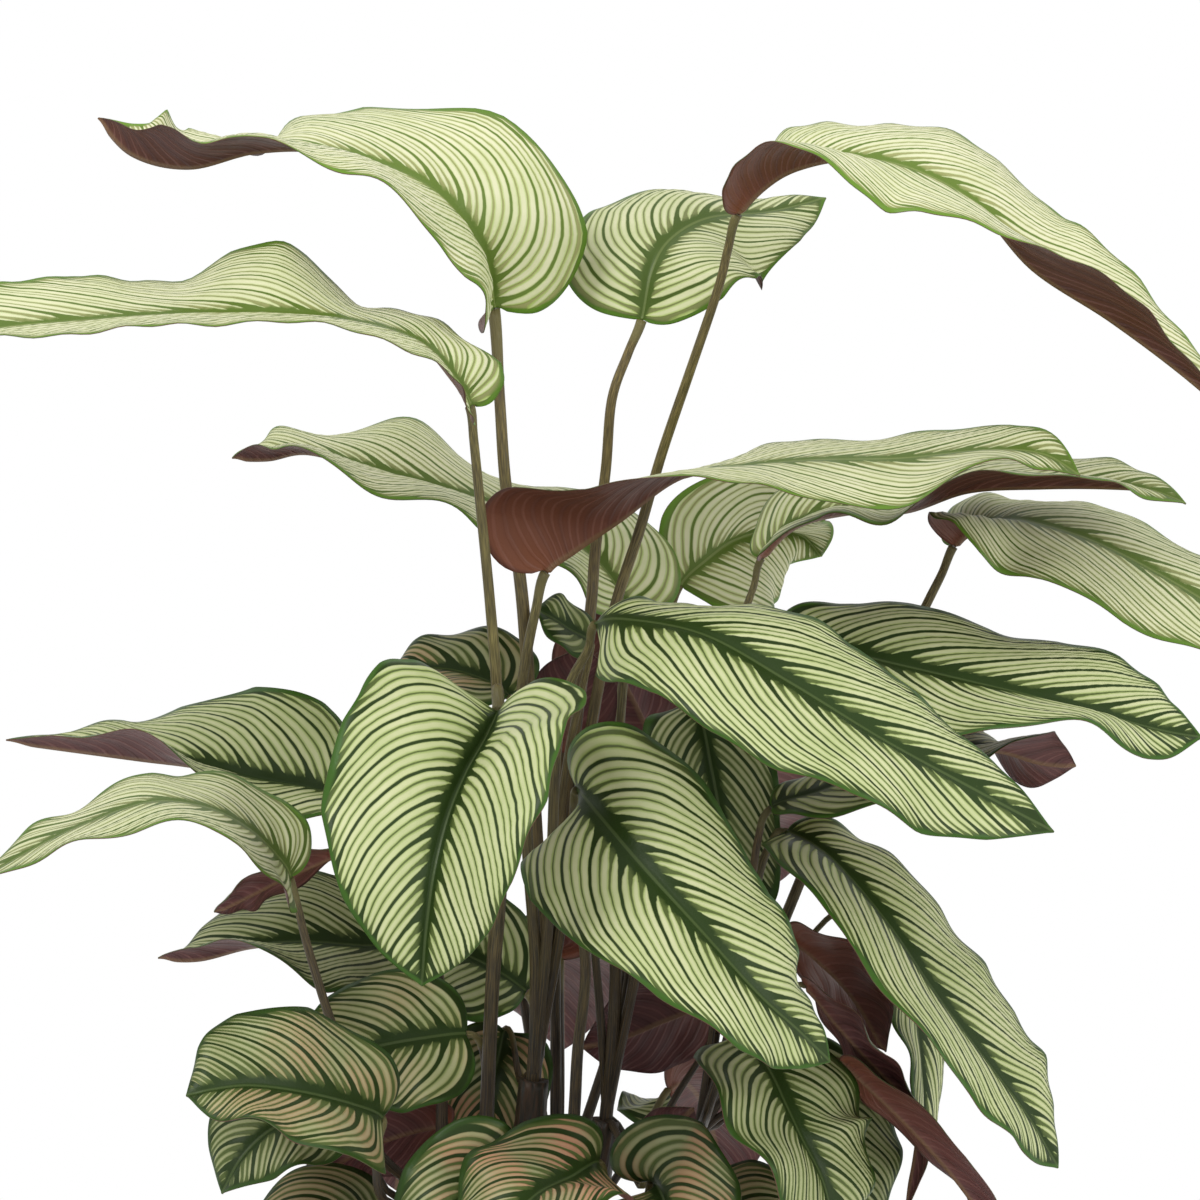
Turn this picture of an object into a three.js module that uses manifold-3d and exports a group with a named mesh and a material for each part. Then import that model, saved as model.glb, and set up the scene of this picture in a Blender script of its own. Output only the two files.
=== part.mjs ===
// The potted white star calathea: a plain nursery pot with its soil, leafy shoots, and striped blades.
// Millimetres, +Z up, origin at the centre of the pot's base, front towards -Y.
import * as THREE from "three";
import Module from "manifold-3d";

// Pot
const POT_HEIGHT = 190;
const POT_TOP_RADIUS = 105;
const POT_BASE_RADIUS = 78;
const POT_WALL = 2.2;
const POT_FLOOR = 3;
const POT_SIDES = 56;
const RIM_DROP = 26;
const RIM_STEP = 2.6;
const RIM_SLOPE = 1;
const DRAIN_COUNT = 8;
const DRAIN_RADIUS = 6;
const DRAIN_RING = 58;
const DRAIN_SIDES = 10;
const CUT_OVER = 1;

// Soil
const SOIL_TOP = 175;
const SOIL_GAP = 0.3;
const SOIL_INSET = 0.4;
const SOIL_SHOULDER = 4;
const SOIL_SIDES = 40;
const SOIL_RINGS = 6;
const SOIL_SMOOTH_RINGS = 3;
const SOIL_ROUGHNESS = 2.4;

// Shoots and their leaf stalks
const HOLE_DEPTH = 24;
const HOLE_GAP = 0.4;
const CROWN_SIDES = 10;
const CROWN_RADIUS_PER_ROOT_STALK = 3.3;
const CROWN_FLARE = 1.2;
const CROWN_NECK = 0.8;
const CROWN_STRAIGHT = 8;
const CROWN_BEND = 0.4;
const STALK_SIDES = 5;
const STALK_STEP = 52;
const STALK_TIP_SHARE = 0.0185;
const STALK_TIP_LEAST = 1.25;
const STALK_GROWTH = 1.3;
const PULVINUS_LENGTH = 38;
const PULVINUS_SWELL = 0.22;
const STALK_SUNK = 0.45;

// Blades
const BLADE_GAP = 0.3;
const BLADE_CELLS = 2;
const BLADE_EDGE_HALF = 0.36;
const BLADE_RIB_HALF = 0.5;
const BLADE_BASE_HALF = 0.7;
const BLADE_TIP_WIDTH = 0.8;
const RIB_BAND = 0.5;
const ROW_CROWDING = 1.2;
const HEADING_STEP = 0.01;
const SWELL_POWER = 2.2;
const SWELL_ROUND = 0.7;
const TAPER_POWER = 2.3;
const WAVE_RISE = 1.5;
const WAVE_OFFSET = 1.3;

// The view that the leaves are placed by: level across, looking along +Y and down by this much
const VIEW_DROP = THREE.MathUtils.degToRad(7);
const VIEW_DISTANCE = 2600;
const AIM_ACROSS = 27;
const AIM_UP = 565;

// Each shoot: where it leaves the soil, and the neck that its stalks leave, as across, up and depth
const SHOOTS = [
  { name: "far_left", soil: [-52, -10], neck: [-52, 258, -18] },
  { name: "left", soil: [-33, -24], neck: [-30, 290, -27] },
  { name: "centre_left", soil: [-17, 13], neck: [-6, 325, 10] },
  { name: "front", soil: [2, -24], neck: [14, 305, -32] },
  { name: "centre_right", soil: [12, 14], neck: [30, 305, 14] },
  { name: "right", soil: [40, -6], neck: [76, 296, 0] },
  { name: "back", soil: [0, 48], neck: [5, 260, 60] },
];

// Each leaf, picked by hand. Rib stations run from base to tip: across, up, depth, roll, fold in degrees.
// Roll turns the blade about its rib and fold lifts both halves. The stalk runs down from the base.
// The wave of the edges is its height, its count along the blade, and its phase. The arch swells each
// half, as a share of its width, and the lobes, right then left, sweep each half back past the base.
const LEAVES = [
  {
    name: "top_left", shoot: "centre_left", width: 134, widest: 0.24, rows: 15,
    wave: [3, 5, 0.6], arch: 0.08, lobes: [0.62, 0.2],
    rib: [
      [-26, 711, 20, -37, 33], [-34, 742, 5, -50, 30], [-60, 772, -15, -69, 6], [-106, 789, -35, -83, 1],
      [-144, 790, -45, -93, 1], [-178, 782, -50, -88, 24], [-206, 788, -52, -83, 48],
      [-224, 806, -50, -83, 48],
    ],
    stalk: [[-23, 665, 16], [-20, 623, 12], [-14, 585, 8], [-10, 545, 5], [-7, 485, 5], [-3, 400, 6]],
  },
  {
    name: "top_middle", shoot: "centre_left", width: 112, widest: 0.4, rows: 12,
    wave: [1, 4, 2], arch: 0.08, lobes: [0.3, 0.3],
    rib: [
      [48, 705, 40, 22, 14], [53, 729, 46, 29, 7], [62, 745, 56, 46, -4], [81, 756, 72, 54, -14],
      [111, 759, 90, 70, -8], [140, 766, 102, 58, -12],
    ],
    stalk: [
      [41, 688, 38], [33, 665, 36], [30, 630, 38], [25, 592, 36], [22, 556, 30], [13, 485, 20],
      [4, 400, 12],
    ],
  },
  {
    name: "top_right", shoot: "centre_left", width: 104, widest: 0.42, rows: 15,
    wave: [3, 4, 1], arch: 0.08, lobes: [0.35, 0.35],
    rib: [
      [96, 758, -20, 94, 24], [110, 773, -25, 96, 24], [127, 782, -30, 91, 21], [152, 786, -35, 79, 9],
      [184, 780, -40, 66, 0], [216, 762, -45, 68, 8], [244, 731, -48, 78, 30], [282, 706, -50, 79, 33],
      [317, 680, -52, 79, 33], [350, 652, -50, 79, 28],
    ],
    stalk: [
      [91, 740, -12], [86, 720, -5], [72, 679, 10], [58, 638, 28], [47, 600, 30], [33, 555, 26],
      [20, 485, 18], [7, 400, 10],
    ],
  },
  {
    name: "upper_left", shoot: "left", width: 106, widest: 0.42, rows: 16,
    wave: [1, 5, 0], arch: 0.02, lobes: [0.9, 0.35],
    rib: [
      [-38, 662, -78, -60, 22], [-46, 676, -86, -67, 19], [-63, 694, -96, -82, 4],
      [-94, 704, -106, -86, 2], [-133, 708, -113, -71, 19], [-184, 708, -118, -81, 7],
      [-228, 705, -122, -76, 10], [-273, 701, -124, -70, 16], [-310, 693, -122, -69, 15],
      [-340, 681, -120, -66, 15],
    ],
    stalk: [
      [-36, 645, -75], [-33, 615, -70], [-28, 565, -64], [-24, 511, -58], [-23, 440, -44], [-27, 375, -34],
    ],
  },
  {
    name: "middle_left", shoot: "centre_right", width: 118, widest: 0.3, rows: 14,
    wave: [5, 4, 1.2], arch: 0.08, lobes: [0.65, 0.35],
    rib: [
      [40, 559, 95, -50, 24], [27, 582, 98, -60, 15], [0, 602, 100, -78, 2], [-38, 616, 100, -80, 3],
      [-83, 629, 96, -76, 12], [-118, 639, 92, -87, 3], [-139, 636, 90, -90, 26], [-157, 636, 88, -90, 26],
    ],
    stalk: [[40, 540, 88], [37, 505, 70], [33, 440, 45], [35, 375, 22]],
  },
  {
    name: "twisted", shoot: "centre_left", width: 112, widest: 0.22, rows: 15,
    wave: [2, 4, 0.4], arch: 0.03, lobes: [0.9, 0.3],
    rib: [
      [0, 579, -25, 120, 40], [14, 590, -27, 122, 43], [37, 606, -30, 104, 17], [67, 627, -34, 98, 0],
      [100, 632, -38, 89, 1], [132, 635, -42, 78, -6], [178, 636, -48, 70, -8], [220, 640, -52, 79, 4],
      [248, 638, -54, 58, 12], [267, 627, -54, 58, 12],
    ],
    stalk: [[-5, 560, -24], [-10, 535, -22], [-12, 510, -20], [-9, 440, -12], [-5, 385, -4]],
  },
  {
    name: "middle_back", shoot: "centre_right", width: 90, widest: 0.4, rows: 10,
    wave: [2, 3, 0], arch: 0.08, lobes: [0.3, 0.3],
    rib: [
      [67, 572, 158, 0, 15], [80, 585, 170, 0, 15], [94, 595, 190, -12, 22], [111, 600, 210, -30, 40],
      [127, 598, 224, -25, 35], [138, 587, 232, -25, 35],
    ],
    stalk: [[61, 552, 150], [54, 515, 136], [43, 440, 86], [38, 370, 34]],
  },
  {
    name: "long_right", shoot: "centre_right", width: 84, widest: 0.32, rows: 12,
    wave: [2, 4, 0.8], arch: 0.08, lobes: [0.3, 0.7],
    rib: [
      [108, 586, 70, 78, 17], [124, 602, 64, 78, 17], [150, 609, 58, 80, 15], [180, 610, 48, 83, 9],
      [211, 620, 38, 89, 15], [247, 622, 28, 90, 18], [280, 622, 22, 84, 16], [302, 620, 18, 71, 9],
      [320, 613, 16, 71, 9],
    ],
    stalk: [[104, 572, 68], [98, 555, 62], [77, 495, 45], [52, 415, 28], [42, 365, 20]],
  },
  {
    name: "far_right", shoot: "right", width: 104, widest: 0.42, rows: 13,
    wave: [2, 4, 0], arch: 0.08, lobes: [0.1, 0.6],
    rib: [
      [204, 592, 60, 100, 30], [213, 600, 56, 100, 30], [224, 604, 50, 92, 6], [242, 604, 42, 73, -7],
      [279, 592, 28, 65, -6], [327, 566, 12, 58, -6], [360, 542, 4, 60, 0], [383, 520, 0, 66, 4],
    ],
    stalk: [[198, 578, 58], [190, 562, 54], [167, 515, 40], [146, 470, 28], [118, 402, 14], [94, 345, 4]],
  },
  {
    name: "right_behind", shoot: "right", width: 108, widest: 0.45, rows: 13,
    wave: [3, 3, 0.6], arch: 0.08, lobes: [0.35, 0.35],
    rib: [
      [114, 545, 8, 60, 6], [137, 542, -6, 59, 4], [165, 535, -22, 60, 0], [204, 526, -38, 62, -2],
      [242, 517, -52, 70, 8], [280, 507, -64, 72, 14], [306, 500, -70, 59, 7], [328, 496, -72, 60, 0],
    ],
    stalk: [[110, 530, 20], [106, 495, 44], [98, 440, 40], [88, 375, 12]],
  },
  {
    name: "front_right", shoot: "centre_left", width: 102, widest: 0.5, rows: 15,
    wave: [2, 4, 2.4], arch: 0.08, lobes: [0.0, 0.3],
    rib: [
      [25, 553, -55, 60, -20], [42, 555, -78, 62, -23], [80, 547, -108, 61, -7], [123, 523, -134, 50, -6],
      [167, 496, -146, 59, -2], [211, 472, -150, 48, -11], [254, 449, -148, 48, -8],
    ],
    stalk: [[21, 540, -44], [11, 520, -36], [5, 485, -26], [2, 415, -12]],
  },
  {
    name: "front_left", shoot: "left", width: 132, widest: 0.32, rows: 14,
    wave: [3, 3, 0.4], arch: 0.08, lobes: [0.1, 0.15],
    rib: [
      [-24, 509, -85, -26, 38], [-30, 496, -112, -26, 38], [-40, 478, -140, -25, 37],
      [-49, 456, -162, -22, 32], [-56, 428, -178, -17, 25], [-60, 398, -184, -13, 25],
      [-62, 372, -182, -10, 22],
    ],
    stalk: [[-24, 519, -72], [-20, 465, -58], [-23, 415, -44], [-27, 365, -34]],
  },
  {
    name: "front_middle", shoot: "front", width: 104, widest: 0.3, rows: 14,
    wave: [2, 3, 1.4], arch: 0.08, lobes: [0.2, 0.9],
    rib: [
      [16, 470, -84, 12, 2], [26, 458, -112, 15, 0], [48, 432, -142, 28, -9], [77, 400, -164, 46, 0],
      [106, 368, -171, 52, 3], [127, 349, -168, 55, -6], [142, 334, -162, 50, 0],
    ],
    stalk: [[14, 458, -74], [14, 425, -62], [20, 382, -48], [16, 340, -36]],
  },
  {
    name: "left_raised", shoot: "far_left", width: 110, widest: 0.36, rows: 12,
    wave: [2, 4, 1.6], arch: 0.08, lobes: [0.35, 0.35],
    rib: [
      [-97, 464, 0, -54, 30], [-117, 470, -4, -59, 25], [-146, 475, -10, -60, 24],
      [-173, 482, -16, -77, 13], [-203, 486, -22, -94, 20], [-233, 490, -26, -95, 22],
      [-270, 495, -28, -94, 14],
    ],
    stalk: [[-84, 451, -2], [-63, 420, -4], [-53, 372, -9], [-52, 325, -16]],
  },
  {
    name: "left_arched", shoot: "far_left", width: 86, widest: 0.38, rows: 12,
    wave: [2, 4, 0], arch: 0.02, lobes: [0.35, 0.35],
    rib: [
      [-128, 426, -95, -64, 20], [-133, 435, -102, -68, 14], [-148, 450, -116, -80, 2],
      [-169, 461, -130, -84, 0], [-198, 464, -142, -82, 1], [-233, 452, -150, -81, 1],
      [-263, 437, -154, -78, 4], [-292, 419, -156, -90, 12],
    ],
    stalk: [[-124, 412, -94], [-120, 395, -93], [-110, 362, -92], [-97, 325, -88], [-85, 290, -76]],
  },
  {
    name: "left_underside", shoot: "far_left", width: 66, widest: 0.45, rows: 7,
    wave: [2, 3, 0], arch: 0.08, lobes: [0.35, 0.35],
    rib: [
      [-97, 440, -30, -112, 0], [-128, 428, -42, -112, 0], [-148, 418, -50, -112, 0],
      [-166, 409, -54, -112, 0],
    ],
    stalk: [[-83, 431, -26], [-64, 400, -16], [-54, 365, -14], [-52, 325, -16]],
  },
  {
    name: "left_low", shoot: "centre_left", width: 104, widest: 0.36, rows: 13,
    wave: [3, 4, 0.5], arch: 0.08, lobes: [0.35, 0.35],
    rib: [
      [-10, 369, 44, -46, 10], [-33, 384, 44, -48, 8], [-58, 392, 42, -50, 6], [-90, 392, 34, -60, 6],
      [-120, 394, 26, -64, 8], [-148, 392, 18, -80, 14], [-173, 386, 12, -98, 24],
      [-194, 386, 8, -100, 20],
    ],
    stalk: [[-5, 358, 40], [-3, 340, 24]],
  },
  {
    name: "low_left_front", shoot: "far_left", width: 88, widest: 0.36, rows: 11,
    wave: [3, 3, 0], arch: 0.08, lobes: [0.35, 0.35],
    rib: [
      [-82, 306, -112, -50, 14], [-98, 313, -136, -54, 12], [-123, 319, -160, -56, 14],
      [-148, 322, -176, -58, 14], [-167, 320, -184, -56, 12], [-180, 317, -186, -54, 10],
    ],
    stalk: [[-84, 292, -98], [-81, 265, -78]],
  },
  {
    name: "low_left_behind", shoot: "left", width: 80, widest: 0.38, rows: 9,
    wave: [2, 3, 0.9], arch: 0.08, lobes: [0.35, 0.35],
    rib: [
      [-40, 348, -34, -40, 4], [-60, 346, -40, -38, 3], [-83, 342, -44, -38, 3], [-108, 335, -50, -38, 3],
      [-130, 327, -54, -38, 2],
    ],
    stalk: [[-33, 344, -28], [-30, 328, -26]],
  },
  {
    name: "low_left_small", shoot: "far_left", width: 66, widest: 0.4, rows: 8,
    wave: [3, 2, 0], arch: 0.08, lobes: [0.35, 0.35],
    rib: [
      [-102, 314, -72, -40, 6], [-122, 307, -84, -42, 5], [-139, 299, -93, -44, 5],
      [-153, 285, -100, -46, 5], [-162, 268, -104, -50, 5],
    ],
    stalk: [[-92, 304, -66], [-80, 270, -54]],
  },
  {
    name: "low_left_dark", shoot: "far_left", width: 54, widest: 0.42, rows: 7,
    wave: [2, 2, 0.5], arch: 0.08, lobes: [0.35, 0.35],
    rib: [
      [-49, 302, 10, -146, 0], [-72, 298, 2, -146, 0], [-98, 287, -6, -146, 0], [-125, 268, -12, -146, 0],
    ],
    stalk: [[-48, 290, 10], [-50, 270, -4]],
  },
  {
    name: "low_front_first", shoot: "left", width: 66, widest: 0.4, rows: 8,
    wave: [2, 3, 0.3], arch: 0.08, lobes: [0.35, 0.35],
    rib: [
      [-27, 287, -92, 0, 14], [-34, 278, -110, 0, -6], [-46, 255, -128, 0, -16], [-58, 230, -138, 0, -16],
      [-69, 209, -136, 0, -10],
    ],
    stalk: [[-24, 275, -78], [-24, 240, -52]],
  },
  {
    name: "low_front_second", shoot: "front", width: 84, widest: 0.36, rows: 10,
    wave: [3, 3, 0], arch: 0.08, lobes: [0.35, 0.35],
    rib: [
      [26, 284, -92, -50, 20], [12, 276, -122, -58, 12], [-4, 268, -148, -64, 10],
      [-20, 253, -164, -64, 8], [-37, 234, -170, -62, 6], [-48, 215, -166, -60, 4],
    ],
    stalk: [[29, 270, -78], [21, 235, -50]],
  },
  {
    name: "low_front_third", shoot: "front", width: 84, widest: 0.36, rows: 10,
    wave: [2, 3, 0.7], arch: 0.08, lobes: [0.6, 0.6],
    rib: [
      [53, 275, -70, 0, 32], [58, 268, -96, 0, 24], [62, 254, -116, 0, 18], [69, 233, -128, 0, 14],
      [75, 209, -126, 0, 10],
    ],
    stalk: [[49, 262, -60], [32, 225, -42]],
  },
  {
    name: "young", shoot: "centre_right", width: 30, widest: 0.4, rows: 6,
    wave: [1, 2, 0], arch: 0.08, lobes: [0.35, 0.35],
    rib: [
      [50, 287, -30, 160, 0], [57, 296, -36, 160, 0], [66, 304, -40, 160, 0], [74, 311, -42, 160, 0],
    ],
    stalk: [[47, 272, -24]],
  },
  {
    name: "low_right_front", shoot: "right", width: 100, widest: 0.42, rows: 12,
    wave: [4, 4, 0], arch: 0.08, lobes: [0.35, 0.35],
    rib: [
      [96, 348, -62, 46, 10], [110, 332, -86, 50, 6], [120, 312, -104, 54, 4], [128, 295, -114, 58, 6],
      [138, 275, -119, 58, 6], [144, 251, -118, 56, 4], [148, 230, -110, 54, 2],
    ],
    stalk: [[91, 340, -54], [81, 310, -36]],
  },
  {
    name: "low_right_behind", shoot: "right", width: 72, widest: 0.42, rows: 8,
    wave: [2, 3, 0.4], arch: 0.08, lobes: [0.35, 0.35],
    rib: [
      [121, 340, 26, 24, 6], [133, 318, 10, 28, 4], [146, 292, -4, 30, 2], [154, 267, -10, 30, 0],
      [159, 240, -10, 30, 0],
    ],
    stalk: [[110, 335, 26], [88, 305, 12]],
  },
  {
    name: "right_hanging", shoot: "right", width: 98, widest: 0.48, rows: 14,
    wave: [2, 4, 0.2], arch: 0.08, lobes: [0.35, 0.35],
    rib: [
      [120, 449, -20, 60, 8], [142, 436, -46, 65, 2], [170, 404, -70, 64, 4], [196, 366, -86, 66, 6],
      [224, 329, -93, 66, 8], [242, 305, -94, 62, 6], [256, 281, -90, 56, 0],
    ],
    stalk: [[113, 444, -14], [106, 425, -6], [98, 375, -2], [88, 335, 0]],
  },
  {
    name: "right_underside", shoot: "right", width: 82, widest: 0.45, rows: 8,
    wave: [3, 3, 0], arch: 0.08, lobes: [0.35, 0.35],
    rib: [
      [122, 395, 4, 120, 0], [142, 380, -4, 120, 0], [157, 362, -10, 120, 0], [170, 339, -14, 120, 0],
    ],
    stalk: [[113, 382, 6], [94, 340, 4]],
  },
  {
    name: "right_dark", shoot: "right", width: 60, widest: 0.42, rows: 8,
    wave: [2, 3, 0.5], arch: 0.08, lobes: [0.35, 0.35],
    rib: [
      [130, 372, -34, 112, 0], [147, 352, -46, 112, 0], [167, 330, -56, 112, 0], [188, 310, -60, 112, 0],
    ],
    stalk: [[120, 365, -28], [97, 328, -12]],
  },
  {
    name: "right_narrow", shoot: "right", width: 58, widest: 0.45, rows: 10,
    wave: [2, 4, 0], arch: 0.08, lobes: [0.35, 0.35],
    rib: [
      [148, 410, 34, 60, 0], [167, 398, 24, 64, 0], [181, 372, 12, 66, 0], [186, 345, 2, 66, 4],
      [188, 315, -6, 70, 8], [185, 285, -12, 88, 12], [179, 257, -14, 100, 12],
    ],
    stalk: [[127, 390, 38], [110, 365, 30], [91, 322, 12]],
  },
  {
    name: "low_right_dark", shoot: "right", width: 60, widest: 0.45, rows: 9,
    wave: [2, 3, 0], arch: 0.08, lobes: [0.35, 0.35],
    rib: [
      [148, 334, -46, 118, 0], [166, 318, -56, 116, 0], [184, 300, -62, 112, 4], [202, 280, -66, 110, 8],
      [217, 260, -68, 110, 8], [227, 244, -66, 112, 4],
    ],
    stalk: [[133, 333, -34], [101, 315, -10]],
  },
  {
    name: "inner_hanging", shoot: "centre_right", width: 70, widest: 0.36, rows: 10,
    wave: [2, 3, 0.6], arch: 0.08, lobes: [0.35, 0.35],
    rib: [
      [72, 516, 24, 0, 14], [78, 504, 16, 0, 18], [83, 480, 12, 0, 20], [89, 450, 12, 0, 20],
      [98, 418, 16, 0, 16], [103, 398, 20, 0, 10],
    ],
    stalk: [[69, 509, 30], [61, 465, 32], [51, 405, 20]],
  },
  {
    name: "inner_dark", shoot: "centre_right", width: 56, widest: 0.42, rows: 7,
    wave: [2, 2, 0], arch: 0.08, lobes: [0.35, 0.35],
    rib: [
      [53, 491, 106, 150, 0], [47, 507, 105, 150, 0], [40, 521, 103, 150, 0], [34, 533, 100, 150, 0],
    ],
    stalk: [[54, 470, 94], [47, 415, 48]],
  },
  {
    name: "inner_left_small", shoot: "centre_left", width: 74, widest: 0.34, rows: 8,
    wave: [2, 3, 0.3], arch: 0.08, lobes: [0.35, 0.35],
    rib: [
      [-19, 517, 22, -58, 16], [-29, 524, 26, -62, 14], [-48, 530, 32, -66, 8], [-66, 530, 36, -68, 6],
      [-80, 526, 38, -70, 6],
    ],
    stalk: [[-16, 509, 20], [-11, 470, 16], [-6, 400, 10]],
  },
  {
    name: "inner_small", shoot: "centre_left", width: 40, widest: 0.42, rows: 6,
    wave: [1, 2, 0], arch: 0.08, lobes: [0.35, 0.35],
    rib: [
      [22, 544, 6, -60, 6], [12, 550, 2, -60, 4], [3, 556, -2, -60, 4], [-5, 560, -4, -60, 4],
    ],
    stalk: [[22, 537, 8], [17, 515, 10], [8, 465, 10]],
  },
  {
    name: "inner_upright", shoot: "centre_right", width: 46, widest: 0.42, rows: 6,
    wave: [1, 2, 0.6], arch: 0.08, lobes: [0.35, 0.35],
    rib: [
      [11, 489, 54, 176, 0], [13, 509, 54, 176, 0], [16, 527, 50, 176, 0], [19, 541, 46, 176, 0],
    ],
    stalk: [[13, 465, 52], [22, 415, 34]],
  },
  {
    name: "inner_low_dark", shoot: "centre_right", width: 58, widest: 0.42, rows: 8,
    wave: [2, 3, 0], arch: 0.08, lobes: [0.35, 0.35],
    rib: [
      [84, 363, 57, -160, 0], [62, 356, 57, -160, 0], [40, 347, 57, -160, 0], [18, 341, 57, -160, 0],
    ],
    stalk: [[84, 348, 52], [67, 320, 36], [47, 290, 20]],
  },
  {
    name: "inner_low_left", shoot: "centre_left", width: 62, widest: 0.38, rows: 8,
    wave: [2, 3, 0], arch: 0.08, lobes: [0.35, 0.35],
    rib: [
      [-21, 350, 48, 20, 20], [-24, 337, 44, 20, 18], [-28, 318, 34, 20, 14], [-32, 298, 24, 20, 10],
      [-34, 282, 18, 20, 8],
    ],
    stalk: [[-17, 347, 44], [-13, 325, 26]],
  },
  {
    name: "right_curled", shoot: "right", width: 84, widest: 0.55, rows: 10,
    wave: [2, 3, 0], arch: 0.08, lobes: [0.35, 0.35],
    rib: [
      [113, 461, -20, 74, 4], [137, 469, -22, 76, 2], [167, 481, -24, 74, 0], [202, 491, -24, 78, 2],
      [227, 490, -24, 100, 4], [247, 484, -22, 128, 4], [265, 482, -20, 140, 4],
    ],
    stalk: [[106, 445, -16], [100, 400, -12], [91, 345, -6]],
  },
  {
    name: "back_upper", shoot: "back", width: 108, widest: 0.4, rows: 10,
    wave: [3, 4, 0], arch: 0.08, lobes: [0.35, 0.35],
    rib: [
      [12, 515, 120, -20, 10], [22, 525, 150, -20, 4], [33, 520, 200, -20, 0], [41, 505, 250, -20, 0],
      [45, 480, 280, -20, 0],
    ],
    stalk: [[8, 485, 100], [5, 415, 75], [5, 325, 62]],
  },
  {
    name: "back_left", shoot: "back", width: 104, widest: 0.4, rows: 9,
    wave: [3, 4, 1], arch: 0.08, lobes: [0.35, 0.35],
    rib: [
      [-38, 465, 110, 20, 10], [-47, 475, 140, 20, 4], [-58, 470, 190, 20, 0], [-66, 455, 235, 20, 0],
      [-69, 435, 262, 20, 0],
    ],
    stalk: [[-28, 440, 95], [-13, 375, 75], [-3, 315, 62]],
  },
  {
    name: "back_right", shoot: "back", width: 104, widest: 0.4, rows: 9,
    wave: [3, 4, 2], arch: 0.08, lobes: [0.35, 0.35],
    rib: [
      [72, 450, 110, -20, 10], [82, 459, 140, -20, 4], [93, 454, 190, -20, 0], [101, 439, 232, -20, 0],
      [105, 420, 258, -20, 0],
    ],
    stalk: [[61, 425, 95], [40, 365, 75], [22, 310, 62]],
  },
  {
    name: "back_low", shoot: "back", width: 92, widest: 0.4, rows: 8,
    wave: [3, 3, 0], arch: 0.08, lobes: [0.35, 0.35],
    rib: [
      [7, 385, 110, 0, 10], [7, 392, 140, 0, 4], [8, 385, 185, 0, 0], [8, 365, 225, 0, 0],
      [8, 340, 245, 0, 0],
    ],
    stalk: [[7, 365, 98], [7, 315, 72]],
  },
  {
    name: "back_low_left", shoot: "back", width: 84, widest: 0.4, rows: 8,
    wave: [3, 3, 1.4], arch: 0.08, lobes: [0.35, 0.35],
    rib: [
      [-48, 320, 90, 24, 8], [-55, 325, 115, 24, 4], [-64, 315, 150, 24, 0], [-71, 295, 180, 24, 0],
      [-75, 270, 196, 24, 0],
    ],
    stalk: [[-38, 305, 82], [-13, 265, 62]],
  },
  {
    name: "back_low_right", shoot: "back", width: 84, widest: 0.4, rows: 8,
    wave: [3, 3, 2.2], arch: 0.08, lobes: [0.35, 0.35],
    rib: [
      [61, 320, 90, -24, 8], [69, 325, 115, -24, 4], [78, 315, 150, -24, 0], [85, 295, 180, -24, 0],
      [89, 270, 196, -24, 0],
    ],
    stalk: [[52, 305, 82], [27, 265, 62]],
  },
  {
    name: "lowest_left", shoot: "far_left", width: 72, widest: 0.4, rows: 8,
    wave: [2, 3, 0], arch: 0.08, lobes: [0.35, 0.35],
    rib: [
      [-83, 252, -30, -48, 6], [-97, 256, -44, -50, 4], [-117, 250, -58, -52, 2], [-135, 237, -68, -54, 2],
      [-148, 220, -72, -54, 2],
    ],
    stalk: [[-73, 240, -26]],
  },
  {
    name: "lowest_right", shoot: "right", width: 72, widest: 0.4, rows: 8,
    wave: [2, 3, 0.8], arch: 0.08, lobes: [0.35, 0.35],
    rib: [
      [72, 254, -34, 50, 6], [88, 257, -52, 52, 4], [109, 249, -66, 54, 2], [127, 234, -74, 56, 2],
      [139, 215, -76, 56, 2],
    ],
    stalk: [[65, 240, -26]],
  },
];

const VIEW_AXIS = new THREE.Vector3(0, 1, 0);
const SEED = 7;

// A repeatable random draw between 0 and 1.
function makeRandom(seed) {
  let state = seed;
  return () => {
    state = (state * 16807) % 2147483647;
    return state / 2147483647;
  };
}

// A place in the row's frame from how it stands in the view: across and up at the pot's axis, and depth.
function place([across, up, depth]) {
  const side = across - AIM_ACROSS;
  const rise = up - AIM_UP;
  const sine = Math.sin(VIEW_DROP);
  const cosine = Math.cos(VIEW_DROP);
  const reach = (depth - rise * sine) / (cosine + (rise * sine) / VIEW_DISTANCE);
  const spread = 1 + reach / VIEW_DISTANCE;
  return new THREE.Vector3(
    AIM_ACROSS + side * spread,
    rise * spread * sine + reach * cosine,
    AIM_UP + rise * spread * cosine - reach * sine,
  );
}

// The point at share t of a smooth line through the points, with a guide point before and after it.
function alongLine(points, before, after, t) {
  const spans = points.length - 1;
  const span = Math.min(Math.floor(t * spans), spans - 1);
  const local = t * spans - span;
  const guides = [before, ...points, after].slice(span, span + 4);
  const curve = new THREE.Vector3();
  for (const axis of ["x", "y", "z"]) {
    const [a, b, c, d] = guides.map((guide) => guide[axis]);
    const pull = 2 * b + (c - a) * local + (2 * a - 5 * b + 4 * c - d) * local ** 2;
    curve[axis] = (pull + (3 * b - a - 3 * c + d) * local ** 3) / 2;
  }
  return curve;
}

// The guide point that carries a line straight on past its last point.
function straightOn(last, previous) {
  return last.clone().multiplyScalar(2).sub(previous);
}

// One closed body from points and triangles.
function makeSolid(points, faces) {
  const geometry = new THREE.BufferGeometry();
  geometry.setAttribute("position", new THREE.Float32BufferAttribute(points.flatMap((p) => p.toArray()), 3));
  geometry.setIndex(faces.flat());
  return geometry;
}

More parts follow.
